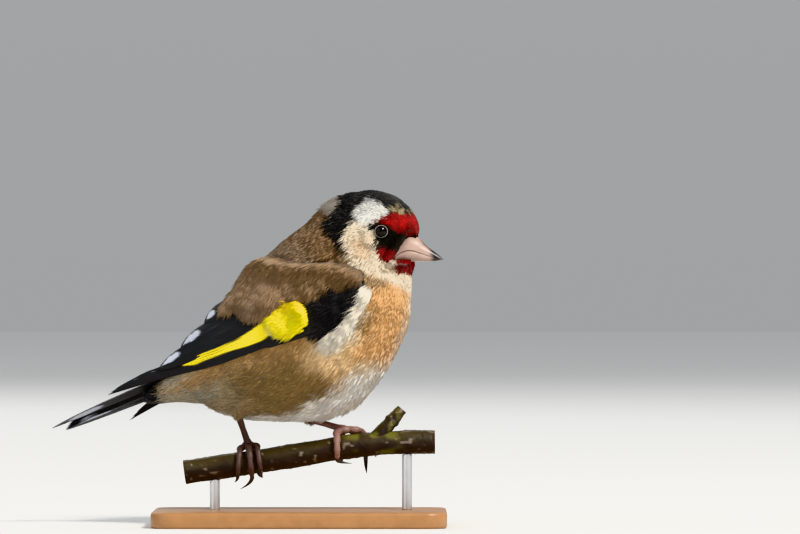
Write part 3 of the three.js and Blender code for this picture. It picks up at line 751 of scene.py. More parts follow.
    def colour(self, points: Array, turn: Array) -> Array:
        """Colour of the plumage.

        Args:
            points: places on the body's surface.
            turn: angle of each place from the back round the body.

        Returns:
            Rows of linear red, green and blue.
        """
        fine = np.stack([noise(points, 0.9, 1), noise(points, 0.9, 2)], axis=1)
        broad = np.stack([noise(points, 3.0, 3), noise(points, 3.0, 4)], axis=1)
        colour = Hue.MANTLE.rows(len(points))
        colour *= (1.0 + 0.22 * noise(points, 2.4, 5) + 0.1 * noise(points, 0.8, 6))[:, None]
        for patch in self.patches:
            moved = points[:, [0, 2]] + patch.ragged * (0.55 * fine + 0.45 * broad)
            inside = depth_inside(patch.outline, moved[:, 0], moved[:, 1])
            weight = step(-patch.soft, patch.soft, inside)[:, None]
            hue = patch.hue.rgb * self.streaks(points, patch.hue)[:, None]
            colour += weight * (hue - colour)
        return self.underside(colour, points, turn)

    def streaks(self, points: Array, hue: Hue) -> Array:
        """Brightness of a patch's fine variation."""
        amount = self.STREAKS.get(hue, 0.1)
        return 1.0 + amount * noise(points, 1.1, 7) + 0.5 * amount * noise(points, 4.0, 8)

    def underside(self, colour: Array, points: Array, turn: Array) -> Array:
        """Whiten the middle of breast and belly."""
        under = (1.0 - np.cos(turn)) / 2.0 + 0.02 * noise(points, 2.0, 9)
        belly = 0.85 * step(0.90, 0.985, under) * step(53.0, 47.0, points[:, 2])
        breast = 0.35 * step(0.975, 1.0, under) * step(71.0, 66.0, points[:, 2])
        return blend(colour, np.maximum(belly, breast) * step(-30.0, -18.0, points[:, 0]), Hue.BELLY)


# Coat


@dataclass
class Blades:
    """A field of tufts, each a fan of thin closed blades that rise from their root and bend over."""

    count: int = 6
    fan: float = 0.16
    spread: float = 0.35
    lift: float = 0.10
    shade: float = 0.7
    bright: float = 1.12

    def grow(
        self, rng: np.random.Generator, root: Array, along: Array, normal: Array, length: Array,
        width: Array, rise: Array, tint: Array, spot: Array,
    ) -> Shape:
        """Grow the blades.

        Args:
            rng: source of the small differences.
            root: place of each tuft.
            along: direction in which it lies.
            normal: direction out of the skin.
            length: length of its blades.
            width: width of a blade.
            rise: angle between blade and skin.
            tint: colour of the tuft.
            spot: place of the tuft on the bake map.

        Returns:
            The blades as one shape.
        """
        n, b = len(root), self.count
        pick = np.repeat(np.arange(n), b)
        side = unit(np.cross(normal, along))
        angle = np.tile(np.linspace(-1.0, 1.0, b), n) * self.fan * 1.6
        angle = angle + rng.normal(0.0, self.fan * 0.5, n * b)
        way = along[pick] * np.cos(angle)[:, None] + side[pick] * np.sin(angle)[:, None]
        across = unit(np.cross(normal[pick], way))
        size = length[pick] * rng.uniform(0.72, 1.12, n * b)
        slope = rise[pick] * rng.uniform(0.7, 1.3, n * b)
        up = normal[pick]
        start = root[pick] + side[pick] * (angle * self.spread * length[pick])[:, None]
        start = start + along[pick] * (rng.uniform(-0.12, 0.12, n * b) * length[pick])[:, None]
        far = way * np.cos(slope)[:, None] + up * np.sin(slope)[:, None]
        middle = start + far * (0.5 * size)[:, None] + up * (self.lift * size)[:, None]
        end = start + far * size[:, None]
        half = (0.5 * width[pick] * rng.uniform(0.8, 1.2, n * b))[:, None]
        points = np.stack([start, middle + across * half, middle - across * half, end], axis=1)
        base = np.arange(n * b)[:, None] * 4
        faces = [base + np.array(f) for f in ((0, 1, 2), (0, 3, 1), (0, 2, 3), (1, 3, 2))]
        tone = rng.uniform(0.86, 1.14, n * b)[:, None]
        body = tint[pick] * tone
        middle_tint = body * (0.7 + 0.3 * self.shade)
        tints = np.stack([body * self.shade, middle_tint, middle_tint, body * self.bright], axis=1)
        away = np.array([(0, -1), (-1, 0), (1, 0), (0, 1)]) * PATCH
        spots = spot[pick][:, None] + away[None]
        maps = {BAKE_MAP: spots.reshape(-1, 2)}
        return Shape(points.reshape(-1, 3), [np.concatenate(faces)], tints.reshape(-1, 3), maps)


@dataclass
class Body:
    """The bird's trunk, neck and head: one skin and the coat on it."""

    form: BodyForm
    markings: Markings
    depth: Outline = ((0, 0.2), (1, 0.3), (3, 0.5), (5, 0.8), (7, 1.1), (9, 1.2), (13, 1.1), (15, 0.6))
    length: Outline = ((0, 1.1), (1, 1.5), (3, 2.4), (5, 3.4), (7, 4.4), (9, 5.2), (13, 5.2), (15, 3.6))
    width: Outline = ((0, 0.13), (3, 0.17), (6, 0.24), (9, 0.28), (15, 0.28))
    jitter: Outline = ((0, 0.1), (2, 0.2), (5, 0.35), (7, 0.6), (15, 0.8))
    density: Outline = ((0, 16.0), (2, 13.0), (4, 8.5), (6, 4.6), (9, 3.2), (15, 3.4))
    bands: tuple[tuple[str, float, float], ...] = (
        ("face", 0.0, 2.3),
        ("crown", 2.3, 3.8),
        ("nape", 3.8, 5.3),
        ("neck", 5.3, 7.0),
        ("breast", 7.0, 8.8),
        ("flank", 8.8, 10.8),
        ("rump", 10.8, 15.0),
    )
    cells: tuple[int, int] = (60, 160)

    def build(self) -> list[bpy.types.Object]:
        """Build the skin and the coat."""
        skin = self.skin()
        made = [skin]
        for i, (name, low, high) in enumerate(self.bands):
            made.append(self.coat(name, low, high, np.random.default_rng(SEED + i)))
        return made

    def skin(self) -> bpy.types.Object:
        """The skin, inside the solids by the coat's depth."""
        rows, columns = 121, 144
        u = np.repeat(np.linspace(0.0, self.form.last, rows), columns)
        turn = np.tile(2.0 * np.pi * np.arange(columns) / columns, rows)
        p, _, normal = self.form.frame(u, turn)
        # The skin takes the plumage colours at 70%: painted shade under the coat.
        colour = self.markings.colour(p, turn) * 0.7
        p = p - normal * lookup(self.depth, u)[:, None]
        shape = Shape.loft(p.reshape(rows, columns, 3), colour.reshape(rows, columns, 3))
        made = shape.object("skin", Finishes.SKIN.material())
        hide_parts("head", "neck", "torso")
        return made

    def under_wing(self, p: Array) -> Array:
        """Whether places lie well under a folded wing."""
        s, t = Wing.flat(p[:, 0], p[:, 2])
        low = lookup(Wing.LOWER, s) + 2.0
        return (s > 2.0) & (s < 46.0) & (t > low) & (t < 13.0) & (np.abs(p[:, 1]) > 5.0)

    def places(self, low: float, high: float, rng: np.random.Generator) -> tuple[Array, Array]:
        """Places of the tufts of one band, as many to an area as the density says.

        Args:
            low: where the band starts along the body.
            high: where it ends.
            rng: source of the small differences.

        Returns:
            Place along the body and turn from the back for each tuft.
        """
        rows, columns = self.cells
        edge_u = np.linspace(low, high, rows + 1)
        edge_turn = np.linspace(0.0, 2.0 * np.pi, columns + 1)
        u0 = np.repeat((edge_u[:-1] + edge_u[1:]) / 2, columns)
        turn0 = np.tile((edge_turn[:-1] + edge_turn[1:]) / 2, rows)
        du, dt = (high - low) / rows, 2.0 * np.pi / columns
        tall = self.form.point(u0 + du / 2, turn0) - self.form.point(u0 - du / 2, turn0)
        wide = self.form.point(u0, turn0 + dt / 2) - self.form.point(u0, turn0 - dt / 2)
        area = np.linalg.norm(np.cross(tall, wide), axis=1)
        weight = area * lookup(self.density, u0) * ~self.under_wing(self.form.point(u0, turn0))
        total = int(weight.sum())
        places = (np.arange(total) + rng.uniform(0.0, 1.0, total)) / total * weight.sum()
        cell = np.searchsorted(np.cumsum(weight), places).clip(0, len(weight) - 1)
        u = np.clip(u0[cell] + rng.uniform(-0.5, 0.5, total) * du, 0.0, self.form.last)
        return u, turn0[cell] + rng.uniform(-0.5, 0.5, total) * dt

    def coat(self, name: str, low: float, high: float, rng: np.random.Generator) -> bpy.types.Object:
        """The coat of one band of the body.

        Args:
            name: name of the band.
            low: where it starts along the body.
            high: where it ends.
            rng: source of the small differences.

        Returns:
            The coat's object.
        """
        u, turn = self.places(low, high, rng)
        p, along, normal = self.form.frame(u, turn)
        keep = ~self.bare(p)
        u, turn, p, along, normal = (rows[keep] for rows in (u, turn, p, along, normal))
        spot = bake_place((u - low) / (high - low), (turn / (2 * np.pi)) % 1.0)
        side = np.cross(normal, along)
        sway = 0.20 * noise(p, 9.0, 11) + lookup(((0, 0.02), (4, 0.03), (8, 0.05)), u) * noise(p, 2.0, 12)
        along = unit(along * np.cos(sway)[:, None] + side * np.sin(sway)[:, None])
        length = lookup(self.length, u) * (1.0 + 0.18 * noise(p, 3.0, 13))
        loose = step(34.0, 44.0, p[:, 0] * 1.2 + (60.0 - p[:, 2])) * step(6.0, 8.0, u)
        loose = np.maximum(loose, step(21.0, 17.0, p[:, 0]) * step(91.0, 93.5, p[:, 2]))
        length *= 1.0 + 0.4 * loose * rng.uniform(0.0, 1.6, len(u))
        depth = lookup(self.depth, u)
        rise = np.arcsin(np.clip((depth * 0.9) / length, 0.05, 0.5)) * (1.0 + 0.9 * loose)
        jitter = rng.normal(0.0, 1.0, p.shape) * lookup(self.jitter, u)[:, None]
        tint = self.markings.colour(p + jitter, turn)
        streak = noise(np.stack([u * 1.1, turn * 16.0, u * 0.0], axis=1), 1.0, 14)
        tint = tint * (1.0 + 0.20 * streak + 0.12 * noise(p, 1.6, 15))[:, None]
        blades = Blades(fan=0.10)
        root = p - normal * depth[:, None]
        shape = blades.grow(rng, root, along, normal, length, lookup(self.width, u), rise, tint, spot)
        made = shape.object("coat_" + name, Finishes.COAT.material())
        log.info("coat_%s: %d tufts", name, len(u))
        return made

    def bare(self, p: Array) -> Array:
        """Whether places are bare of feathers: the eyes and under the bill's base."""
        eye = np.hypot(p[:, 0] - EYE.x, p[:, 2] - EYE.z) < EYE.radius + 0.1
        bill = ((p[:, 0] - 29.0) - (p[:, 2] - 76.9) * 0.57 > 0.2) & (p[:, 2] > 75.8) & (p[:, 2] < 83.0)
        return eye | bill


@dataclass(frozen=True)
class Vane:
    """A flight feather: its width, the share of it before the shaft, how far along it keeps its
    width, how pointed it is, its thickness and its camber."""

    width: float
    lead: float = 0.3
    blunt: float = 0.6
    point: float = 0.5
    thick: float = 0.14
    camber: float = 0.22
    columns: int = 11

    def outline(self, f: Array) -> Array:
        """Share of the full width at f from root to tip."""
        end = np.clip((f - self.blunt) / (1.0 - self.blunt), 0.0, 1.0)
        return (0.3 + 0.7 * step(0.0, 0.22, f)) * (1.0 - end**2) ** (0.5 + 0.5 * self.point) + 0.012

    def build(self, centre: Array, side: float, place: Place, paint: Paint) -> Shape:
        """Build the feather on its layer.

        Args:
            centre: rows of along, across and height from root to tip.
            side: sign of the across direction that leads.
            place: turns along, across and height into points.
            paint: turns along, across, distance from the root, distance to the tip and place
                across the vane (-1 at the leading edge, 1 at the trailing) into colours.

        Returns:
            The closed feather with its barb map.
        """
        rows, columns = len(centre), self.columns
        f = np.linspace(0.0, 1.0, rows)
        way = np.gradient(centre[:, :2], axis=0)
        way /= np.linalg.norm(way, axis=1, keepdims=True)
        across = side * np.stack([-way[:, 1], way[:, 0]], axis=1)
        across *= np.where(across[:, 1] * side < 0.0, -1.0, 1.0)[:, None]
        run = np.concatenate([[0.0], np.cumsum(np.linalg.norm(np.diff(centre[:, :2], axis=0), axis=1))])
        v = np.linspace(-1.0, 1.0, columns)
        share = self.outline(f)[:, None] * self.width
        off = np.where(v < 0.0, v * self.lead, v * (1.0 - self.lead))[None, :] * share
        seed = centre[0, 1] * 7.0
        ragged = noise(np.stack([run * 1.0, np.full(rows, seed), np.zeros(rows)], axis=1), 0.9, 21)
        off = off * (1.0 + 0.05 * ragged[:, None] * np.abs(v)[None, :] ** 3)
        sweep = np.abs(off) * 0.35 * (1.0 - f)[:, None]
        along = centre[:, None, 0] + way[:, None, 0] * sweep - across[:, None, 0] * off
        over = centre[:, None, 1] + way[:, None, 1] * sweep - across[:, None, 1] * off
        arch = self.camber * (1.0 - v**2) + 0.10 * np.exp(-((v / 0.07) ** 2))
        high = centre[:, None, 2] + arch[None, :] * np.minimum(1.0, share / self.width + 0.1)
        flat = [a.ravel() for a in np.broadcast_arrays(along, over, high)]
        top = place(flat[0], flat[1], flat[2]).reshape(rows, columns, 3)
        low = place(flat[0], flat[1], flat[2] - self.thick).reshape(rows, columns, 3)
        behind, left = run[:, None], run[-1] - run[:, None]
        spread = [np.broadcast_to(a, (rows, columns)).ravel() for a in (behind, left, v[None])]
        tint = paint(flat[0], flat[1], *spread).reshape(rows, columns, 3)
        barbs = np.stack([run[:, None] - 1.1 * np.abs(off), off], axis=2)
        rings, tints, spots = (
            np.concatenate(pair, axis=1)
            for pair in ((top, low[:, ::-1]), (tint, tint[:, ::-1]), (barbs, barbs[:, ::-1]))
        )
        shape = Shape.loft(rings, tints)
        ends = spots[:1].mean(axis=1), spots[-1:].mean(axis=1)
        shape.maps[BARB_MAP] = np.concatenate([spots.reshape(-1, 2), *ends])
        return shape


def straight(root: Colour, tip: Colour, bow: float, rows: int) -> Array:
    """Centre of a feather from root to tip, bowed across in its middle."""
    f = np.linspace(0.0, 1.0, rows)[:, None]
    centre = np.array(root) * (1.0 - f) + np.array(tip) * f
    centre[:, 1] += bow * np.sin(np.pi * f[:, 0])
    return centre


@dataclass(frozen=True)
class Pad:
    """A cushion of small feathers on a wing: its outline along and across the wing, its height, and
    how far in from its edge it reaches that height; length, width, number and lie of its tufts."""

    name: str
    outline: Outline
    height: float
    edge: float
    length: float
    width: float
    density: float
    lie: float
    rise: float = 10.0

    def level(self, s: Array, t: Array) -> Array:
        """Height of the cushion."""
        inside = np.clip(depth_inside(self.outline, s, t) / self.edge, 0.0, 1.0)
        return self.height * np.sqrt(1.0 - (1.0 - inside) ** 2)

    def body(self, wing: "Wing", count: int = 96, steps: int = 16) -> tuple[Array, Array, Shape]:
        """The cushion without its tufts, and the places of its points."""
        corners = np.array(self.outline + self.outline[:1])
        run = np.concatenate([[0.0], np.cumsum(np.linalg.norm(np.diff(corners, axis=0), axis=1))])
        at = np.linspace(0.0, run[-1], count, endpoint=False)
        rim = np.stack([np.interp(at, run, corners[:, 0]), np.interp(at, run, corners[:, 1])], axis=1)
        heart = rim.mean(axis=0)
        share = np.sin(np.linspace(0.02, 0.5, steps) * math.pi)
        flat = heart + (rim - heart) * share[:, None, None]
        both = np.concatenate([flat, flat[::-1]]).reshape(-1, 2)
        level = self.level(both[:, 0], both[:, 1])
        level[len(both) // 2:] = -0.5
        points = wing.point(both[:, 0], both[:, 1], level)
        return both[:, 0], both[:, 1], Shape.loft(points.reshape(2 * steps, count, 3))

    def build(self, wing: "Wing", paint: Paint, rng: np.random.Generator) -> Shape:
        """The cushion's tufts.

        Args:
            wing: the wing it lies on.
            paint: turns places along and across the wing into colours.
            rng: source of the small differences.

        Returns:
            The tufts.
        """
        corners = np.array(self.outline)
        low, high = corners.min(axis=0), corners.max(axis=0)
        total = int(self.density * np.prod(high - low))
        s, t = (low + rng.uniform(0.0, 1.0, (total, 2)) * (high - low)).T
        keep = depth_inside(self.outline, s, t) > 0.0
        s, t = s[keep], t[keep]
        level = self.level(s, t)
        root = wing.point(s, t, level - 0.25)
        turn = math.radians(self.lie) + 0.16 * noise(root, 5.0, 31) + 0.10 * noise(root, 1.5, 32)
        ds, dt = 0.5 * np.cos(turn), 0.5 * np.sin(turn)
        ahead = wing.point(s + ds, t + dt, self.level(s + ds, t + dt))
        along = unit(ahead - wing.point(s - ds, t - dt, self.level(s - ds, t - dt)))
        normal = wing.normal(s, t)
        level_way = unit(along - normal * np.einsum("ij,ij->i", along, normal)[:, None])
        along = unit(along * 0.6 + 0.4 * level_way)
        length = self.length * (1.0 + 0.2 * noise(root, 2.5, 33))
        spot = bake_place((s - low[0]) / (high[0] - low[0]), (t - low[1]) / (high[1] - low[1]))
        rise = np.full(len(s), math.radians(self.rise))
        width = np.full(len(s), self.width)
        blades = Blades(fan=0.12, spread=0.3)
        return blades.grow(rng, root, along, normal, length, width, rise, paint(s, t, root), spot)


@dataclass
class Wing:
    """A folded wing: the sheet its layers lie on, its cushions of small feathers and its vanes."""

    form: BodyForm
    hand: Hand
    rows: int = 64

    BEND = (22.1, 68.3)
    ANGLE = math.radians(-157.95)
    FREE_HALF: Outline = ((-3, 9), (4, 11.5), (14, 14), (30, 14), (45, 11.5), (60, 8), (84, 5.6))
    CREST: Outline = ((0, 34), (20, 24.5), (29, 22), (38, 18.4), (47, 13), (55, 9), (62, 7), (84, 5))
    LOWER: Outline = (
        (-1, 0), (1, -2), (3.4, -4), (5.8, -5.6), (9, -7.2), (13.7, -8.2), (18, -7.4), (24.6, -6.3),
        (33, -5.6), (46, -4.9), (52.5, -4.0), (60, -2.6), (70, -1.2), (84, -0.3),
    )
    LIFT = 0.6
    DROOP = {Hand.RIGHT: (0.0, 0.0), Hand.LEFT: (math.radians(-1.5), 0.0021)}
    STEP = 1.2
    PRIMARY_TIPS = (83.4, 82.2, 80.4, 74.2, 68.4, 64.6, 61.8, 59.6)
    PRIMARY_GAP: Outline = ((18, 1.1), (30, 0.85), (57, 0.42), (83, 0.3))
    PRIMARY_WIDTH = 3.1
    SECONDARIES = 5
    COVERTS = 4
    TERTIALS = (
        ((24, 3.0, 1.2), (65.8, 1.0, 1.3), 4.6, 3.4),
        ((24, 6.2, 1.2), (57.4, 3.6, 1.4), 5.4, 3.4),
        ((22, 10.0, 1.0), (47.8, 7.6, 1.4), 5.4, 1.6),
    )
    STRIPE: Outline = (
        (28.0, 1.4), (33.3, 0.2), (39.1, -0.6), (46, -0.5), (57.8, 0.3), (58.3, -0.8), (54.8, -2.1),
        (43.2, -2.6), (36.7, -3.4), (31.7, -3.6), (27.5, -3.0),
    )
    PADS = (
        Pad("coverts", (
            (-1.0, 1.6), (0.8, -1.6), (3.4, -3.7), (5.8, -5.2), (8.9, -6.9), (12.5, -7.6), (16.0, -7.2),
            (17.0, -5.8), (15.4, -3.6), (14.6, -0.6), (14.8, 3.0), (6, 4.5),
        ), 1.3, 2.2, 5.0, 0.60, 5.5, -10.0, 7.0),
        Pad("band", (
            (16.0, 2.0), (15.0, 0.4), (15.0, -1.6), (16.0, -3.6), (18.2, -4.9), (21.6, -4.9), (24.4, -3.8),
            (26.2, -2.4), (26.8, 1.0), (23, 2.8), (19, 3.0),
        ), 1.9, 1.6, 4.6, 0.36, 11.0, -5.0, 5.5),
        Pad("scapulars", (
            (-1.4, 4.4), (-1.0, 2.8), (2.4, 1.8), (7.9, 2.4), (13.0, 2.6), (17.4, 3.0), (21.1, 3.4),
            (25.4, 3.2), (28.2, 3.0), (31.0, 4.4), (33.4, 6.4), (34.8, 8.0), (37.6, 8.4), (40.4, 8.8),
            (40.2, 9.8), (38.0, 11.4), (35.0, 13.4), (32.0, 15.2), (29.0, 17.0), (26.0, 18.2),
            (22.5, 18.4), (19.5, 16.4), (16.0, 13.8), (12.0, 12.0), (7.0, 10.2), (2.0, 7.6),
        ), 2.2, 3.4, 5.8, 0.24, 10.0, -30.0, 4.5),
    )
    FRINGE = Pad("fringe", (
        (-1.6, 0.2), (-2.0, -1.6), (0.6, -4.2), (4.8, -7.2), (9.0, -9.4), (12.4, -10.0), (11.6, -8.6),
        (7.6, -7.4), (3.4, -5.0), (0.2, -2.4), (-0.8, -0.2),
    ), 0.5, 1.4, 6.4, 0.15, 12.0, -27.0, 14.0)
    SLOTS = {"scapulars": "mantle", "coverts": "black_feather", "band": "yellow_feather"}

    @classmethod
    def flat(cls, x: Array, z: Array) -> tuple[Array, Array]:
        """Places along and across the wing of side-view places."""
        dx, dz = x - cls.BEND[0], z - cls.BEND[1]
        c, s = math.cos(cls.ANGLE), math.sin(cls.ANGLE)
        return dx * c + dz * s, dx * s - dz * c

    def sheet(self, s: Array, t: Array) -> Array:
        """Points of the surface under the wing's feathers."""
        angle, curve = self.DROOP[self.hand]
        bent = t - curve * np.maximum(s - 30.0, 0.0) ** 2
        turn = self.ANGLE - angle
        x = self.BEND[0] + s * math.cos(turn) + bent * math.sin(turn)
        z = self.BEND[1] + s * math.sin(turn) - bent * math.cos(turn)
        on = self.form.half(x, z) + self.LIFT
        dome = np.sqrt(np.maximum(0.05, 1.0 - (np.maximum(t, 0.0) / lookup(self.CREST, s)) ** 2))
        free = lookup(self.FREE_HALF, s) * dome
        y = 0.5 * (on + free + np.sqrt((on - free) ** 2 + 3.0))
        return np.stack([x, self.hand.value * y, z], axis=1)

    def normal(self, s: Array, t: Array) -> Array:
        """Unit directions out of the sheet."""
        e = self.STEP
        along = self.sheet(s + e, t) - self.sheet(s - e, t)
        across = self.sheet(s, t + e) - self.sheet(s, t - e)
        out = unit(np.cross(along, across))
        return out * np.sign(out[:, 1] * self.hand.value)[:, None]

    def point(self, s: Array, t: Array, height: Array) -> Array:
        """Points at a height over the sheet."""
        return self.sheet(s, t) + self.normal(s, t) * np.asarray(height)[:, None]

    def build(self) -> list[bpy.types.Object]:
        """Build the vanes and the cushions."""
        made = [self.flight()]
        rng = np.random.default_rng(SEED + 40 + self.hand.value)
        for pad in self.PADS:
            paint = getattr(self, "paint_" + pad.name)
            s, t, body = pad.body(self)
            # The cushion's body takes its tufts' colours at half: painted shade under the tufts.
            tint = paint(s, t, body.points[:len(s)]) * 0.5
            body.tint = np.concatenate([tint, tint[:1], tint[-1:]])
            skin = body.object(f"wing_{self.hand.label}_{pad.name}_skin", Finishes.SKIN.material())
            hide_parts(f"wing_{self.hand.label}_{pad.name}")
            tufts = pad.build(self, paint, rng)
            coat = tufts.object(f"wing_{self.hand.label}_{pad.name}_coat", Finishes.COAT.material())
            for piece in (skin, coat):
                made.append(piece)
            log.info("%s: %d triangles", coat.name, sum(map(len, tufts.faces)))
        made.append(self.fringe(rng))
        return made

    def flight(self) -> bpy.types.Object:
        """Primaries, secondaries, tertials and primary coverts as one piece."""
        feathers: list[Shape] = []

        def add(vane: Vane, centre: Array, paint: Paint) -> None:
            """Add one feather of the wing."""
            feathers.append(vane.build(centre, -1.0, self.point, paint))

        for i, tip in enumerate(self.PRIMARY_TIPS):
            lead = min(0.6 + 0.15 * i, 1.3)
            s = np.linspace(18.0 + 0.6 * i, tip, self.rows)
            edge = lookup(self.LOWER, s) + i * lookup(self.PRIMARY_GAP, s)
            height = 0.25 + 0.13 * i + 0.1 * np.sin(np.linspace(0.0, math.pi, self.rows))
            vane = Vane(self.PRIMARY_WIDTH, lead / self.PRIMARY_WIDTH, 0.6, 1.0)
            add(vane, np.stack([s, edge + lead, height], axis=1), self.paint_primary)
        for j in range(self.SECONDARIES):
            root = (24.0, 2.0 + 0.4 * j, 1.2 + 0.05 * j)
            tip = (62.4 - 1.3 * j, 0.9 + 0.4 * j, 1.15)
            add(Vane(4.4, 0.36, 0.8, 0.4), straight(root, tip, -0.5, self.rows), self.paint_secondary)
        for root, tip, width, spot in self.TERTIALS:
            paint = partial(self.paint_tertial, spot)
            add(Vane(width, 0.45, 0.72, columns=15), straight(root, tip, 0.3, self.rows), paint)
        for k in range(self.COVERTS):
            root = (13.0, -6.6 + 0.7 * k, 0.9 + 0.1 * k)
            tip = (33.0 - 1.5 * k, -4.9 + 0.6 * k, 0.75 + 0.1 * k)
            add(Vane(2.6, 0.4, 0.8), straight(root, tip, -0.2, self.rows // 2), self.paint_covert)
        whole = Shape.join(feathers)
        made = whole.object(f"wing_{self.hand.label}_vanes", Finishes.VANE.material())
        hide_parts(f"wing_{self.hand.label}_flight")
        return made

    def fringe(self, rng: np.random.Generator) -> bpy.types.Object:
        """Long pale breast feathers that hang over the front of the black coverts."""
        tufts = self.FRINGE.build(self, self.paint_fringe, rng)
        made = tufts.object(f"wing_{self.hand.label}_fringe", Finishes.COAT.material())
        return made

    def paint_fringe(self, s: Array, t: Array, root: Array) -> Array:
        """Colour of the pale feathers before the wing."""
        tan = 0.5 * step(0.2, 0.8, noise(root, 1.6, 48)) * step(6.0, 0.0, s)
        return blend(Hue.CREAM.rows(len(s)), tan, Hue.TAN)

    def paint_coverts(self, s: Array, t: Array, root: Array) -> Array:
        """Colour of the black coverts, with a painted grey highlight towards the bend."""
        # Painted highlight: a faint grey lift on the black towards the bend.
        grey = 0.03 * step(8.0, 0.0, s) * (1.0 + noise(root, 1.5, 41))
        return Hue.COVERT.rgb + grey[:, None]

    def paint_band(self, s: Array, t: Array, root: Array) -> Array:
        """Colour of the yellow coverts: painted shade at the top, white at the rear end."""
        # Painted shade: the upper part of the band is moved towards a deeper orange-yellow.
        top_shade = step(0.0, 4.0, t + noise(root, 2.0, 42))
        colour = blend(Hue.YELLOW.rows(len(s)), top_shade, Hue.YELLOW_DEEP)
        white = step(23.6, 25.4, s + 0.8 * noise(root, 1.2, 43)) * step(-0.6, -2.2, t)
        return blend(colour, white, Hue.WHITE_TIP)

    def paint_scapulars(self, s: Array, t: Array, root: Array) -> Array:
        """Colour of the shoulder feathers: warm near the yellow, pale-edged at the rear."""
        broad = noise(root, 3.2, 44)
        run, over = 0.87 * s - 0.5 * t, 0.5 * s + 0.87 * t
        streak = noise(np.stack([0.16 * run, 1.5 * over, 0.0 * s], axis=1), 1.0, 45)
        warm = step(6.5, 3.0, t + broad) * step(12.0, 18.0, s)
        colour = Hue.SCAPULAR.rgb * (1.0 + 0.08 * broad + 0.30 * streak)[:, None]
        colour = blend(colour, warm, Hue.SCAPULAR_WARM)
        edge = step(26.0, 29.0, s + 0.8 * broad) * step(10.0, 7.0, t) * step(-0.2, 0.5, noise(root, 1.3, 46))
        dark = 1.0 - 0.5 * step(4.0, 1.6, t) * step(10.0, 4.0, s)
        return blend(colour, edge, Hue.SCAPULAR_EDGE) * dark[:, None]

    def paint_primary(self, s: Array, t: Array, run: Array, left: Array, v: Array) -> Array:
        """Colour of a primary: black, its outer web yellow along the middle, a pale tip."""
        inside = step(-0.05, 0.2, depth_inside(self.STRIPE, s, t))
        rim = step(-0.88, -0.66, v) * step(0.35, 0.1, v)
        return self.tip(blend(Hue.BLACK.rows(len(s)), inside * rim, Hue.YELLOW), left, v, 0.9, 0.5)

    def paint_secondary(self, s: Array, t: Array, run: Array, left: Array, v: Array) -> Array:
        """Colour of a secondary: black with a white tip."""
        return self.tip(Hue.BLACK.rows(len(s)), left, v, 2.2, 1.0)

    def paint_tertial(self, reach: float, s: Array, t: Array, run: Array, left: Array, v: Array) -> Array:
        """Colour of a tertial: black with a long white spot by the tip."""
        rough = 0.12 * noise(np.stack([left, v * 3, left * 0], axis=1), 1.0, 47)
        white = step(1.05, 0.85, np.hypot((left - reach - 1.5) / reach, (v - 0.50) / 0.40) + rough)
        return blend(Hue.BLACK.rows(len(left)), white, Hue.WHITE_TIP)

    def paint_covert(self, s: Array, t: Array, run: Array, left: Array, v: Array) -> Array:
        """Colour of a primary covert."""
        return np.tile(Hue.BLACK.rgb * 1.2, (len(s), 1))

    def tip(self, colour: Array, left: Array, v: Array, length: float, amount: float) -> Array:
        """Whiten the last part of a feather."""
        white = amount * step(length * 1.3, length * 0.7, left + 0.5 * np.abs(v))
        return blend(colour, white, Hue.WHITE_TIP)


@dataclass
class Tail:
    """The tail: twelve feathers, slightly forked and twisted."""

    root: tuple[float, float] = (-34.0, 42.6)
    angle: float = math.radians(-158.4)
    twist: tuple[float, float] = (math.radians(26.0), math.radians(4.0))
    length: float = 40.4
    fork: float = 3.8
    drop: float = 0.5
    pairs: int = 6
    rows: int = 64

    def point(self, a: Array, b: Array, c: Array) -> Array:
        """Points at a along the tail, b to the left and c over it."""
        back = np.array([math.cos(self.angle), 0.0, math.sin(self.angle)])
        up = np.array([math.sin(self.angle), 0.0, -math.cos(self.angle)])
        turn = self.twist[0] + (self.twist[1] - self.twist[0]) * np.clip(a / self.length, 0.0, 1.0)
        b2 = b * np.cos(turn) - c * np.sin(turn)
        c2 = -b * np.sin(turn) + c * np.cos(turn) - self.drop * (np.maximum(a, 0.0) / self.length) ** 3
        start = np.array([self.root[0], 0.0, self.root[1]])
        return start + a[:, None] * back + b2[:, None] * np.array([0.0, 1.0, 0.0]) + c2[:, None] * up

    def build(self) -> list[bpy.types.Object]:
        """Build the tail feathers as one piece."""
        feathers = []
        for i, side in product(range(self.pairs), (1.0, -1.0)):
            out = i / (self.pairs - 1)
            end = self.length - self.fork * (1.0 - out) ** 1.4
            root = (-3.0, side * (0.5 + 2.4 * out), 0.7 - 0.7 * out)
            tip = (end, side * (1.4 + 5.2 * out), 1.0 - 0.9 * out)
            centre = straight(root, tip, 0.0, self.rows)
            vane = Vane(4.4, 0.36, 0.8, 0.7, camber=0.25)
            feathers.append(vane.build(centre, side, self.point, partial(self.paint, out)))
        made = Shape.join(feathers).object("tail_vanes", Finishes.VANE.material())
        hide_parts("tail")
        return [made]

    def paint(self, out: float, a: Array, b: Array, run: Array, left: Array, v: Array) -> Array:
        """Colour of a tail feather: black, a white mirror on the outer ones, a pale rim and tip."""
        tip = step(1.7, 0.9, left + 0.4 * np.abs(v)) * (0.85 if out < 0.7 else 0.25)
        mirror = 0.0
        if out > 0.5:
            middle, reach = (10.5, 5.5) if out > 0.9 else (8.0, 3.2)
            mirror = step(1.1, 0.85, np.hypot((left - middle) / reach, (v - 0.55) / 0.5))
        rim = 0.35 * step(-0.93, -0.99, v)
        share = np.maximum(np.maximum(tip, mirror), rim)
        return blend(Hue.TAIL.rows(len(left)), share, Hue.WHITE_TIP)


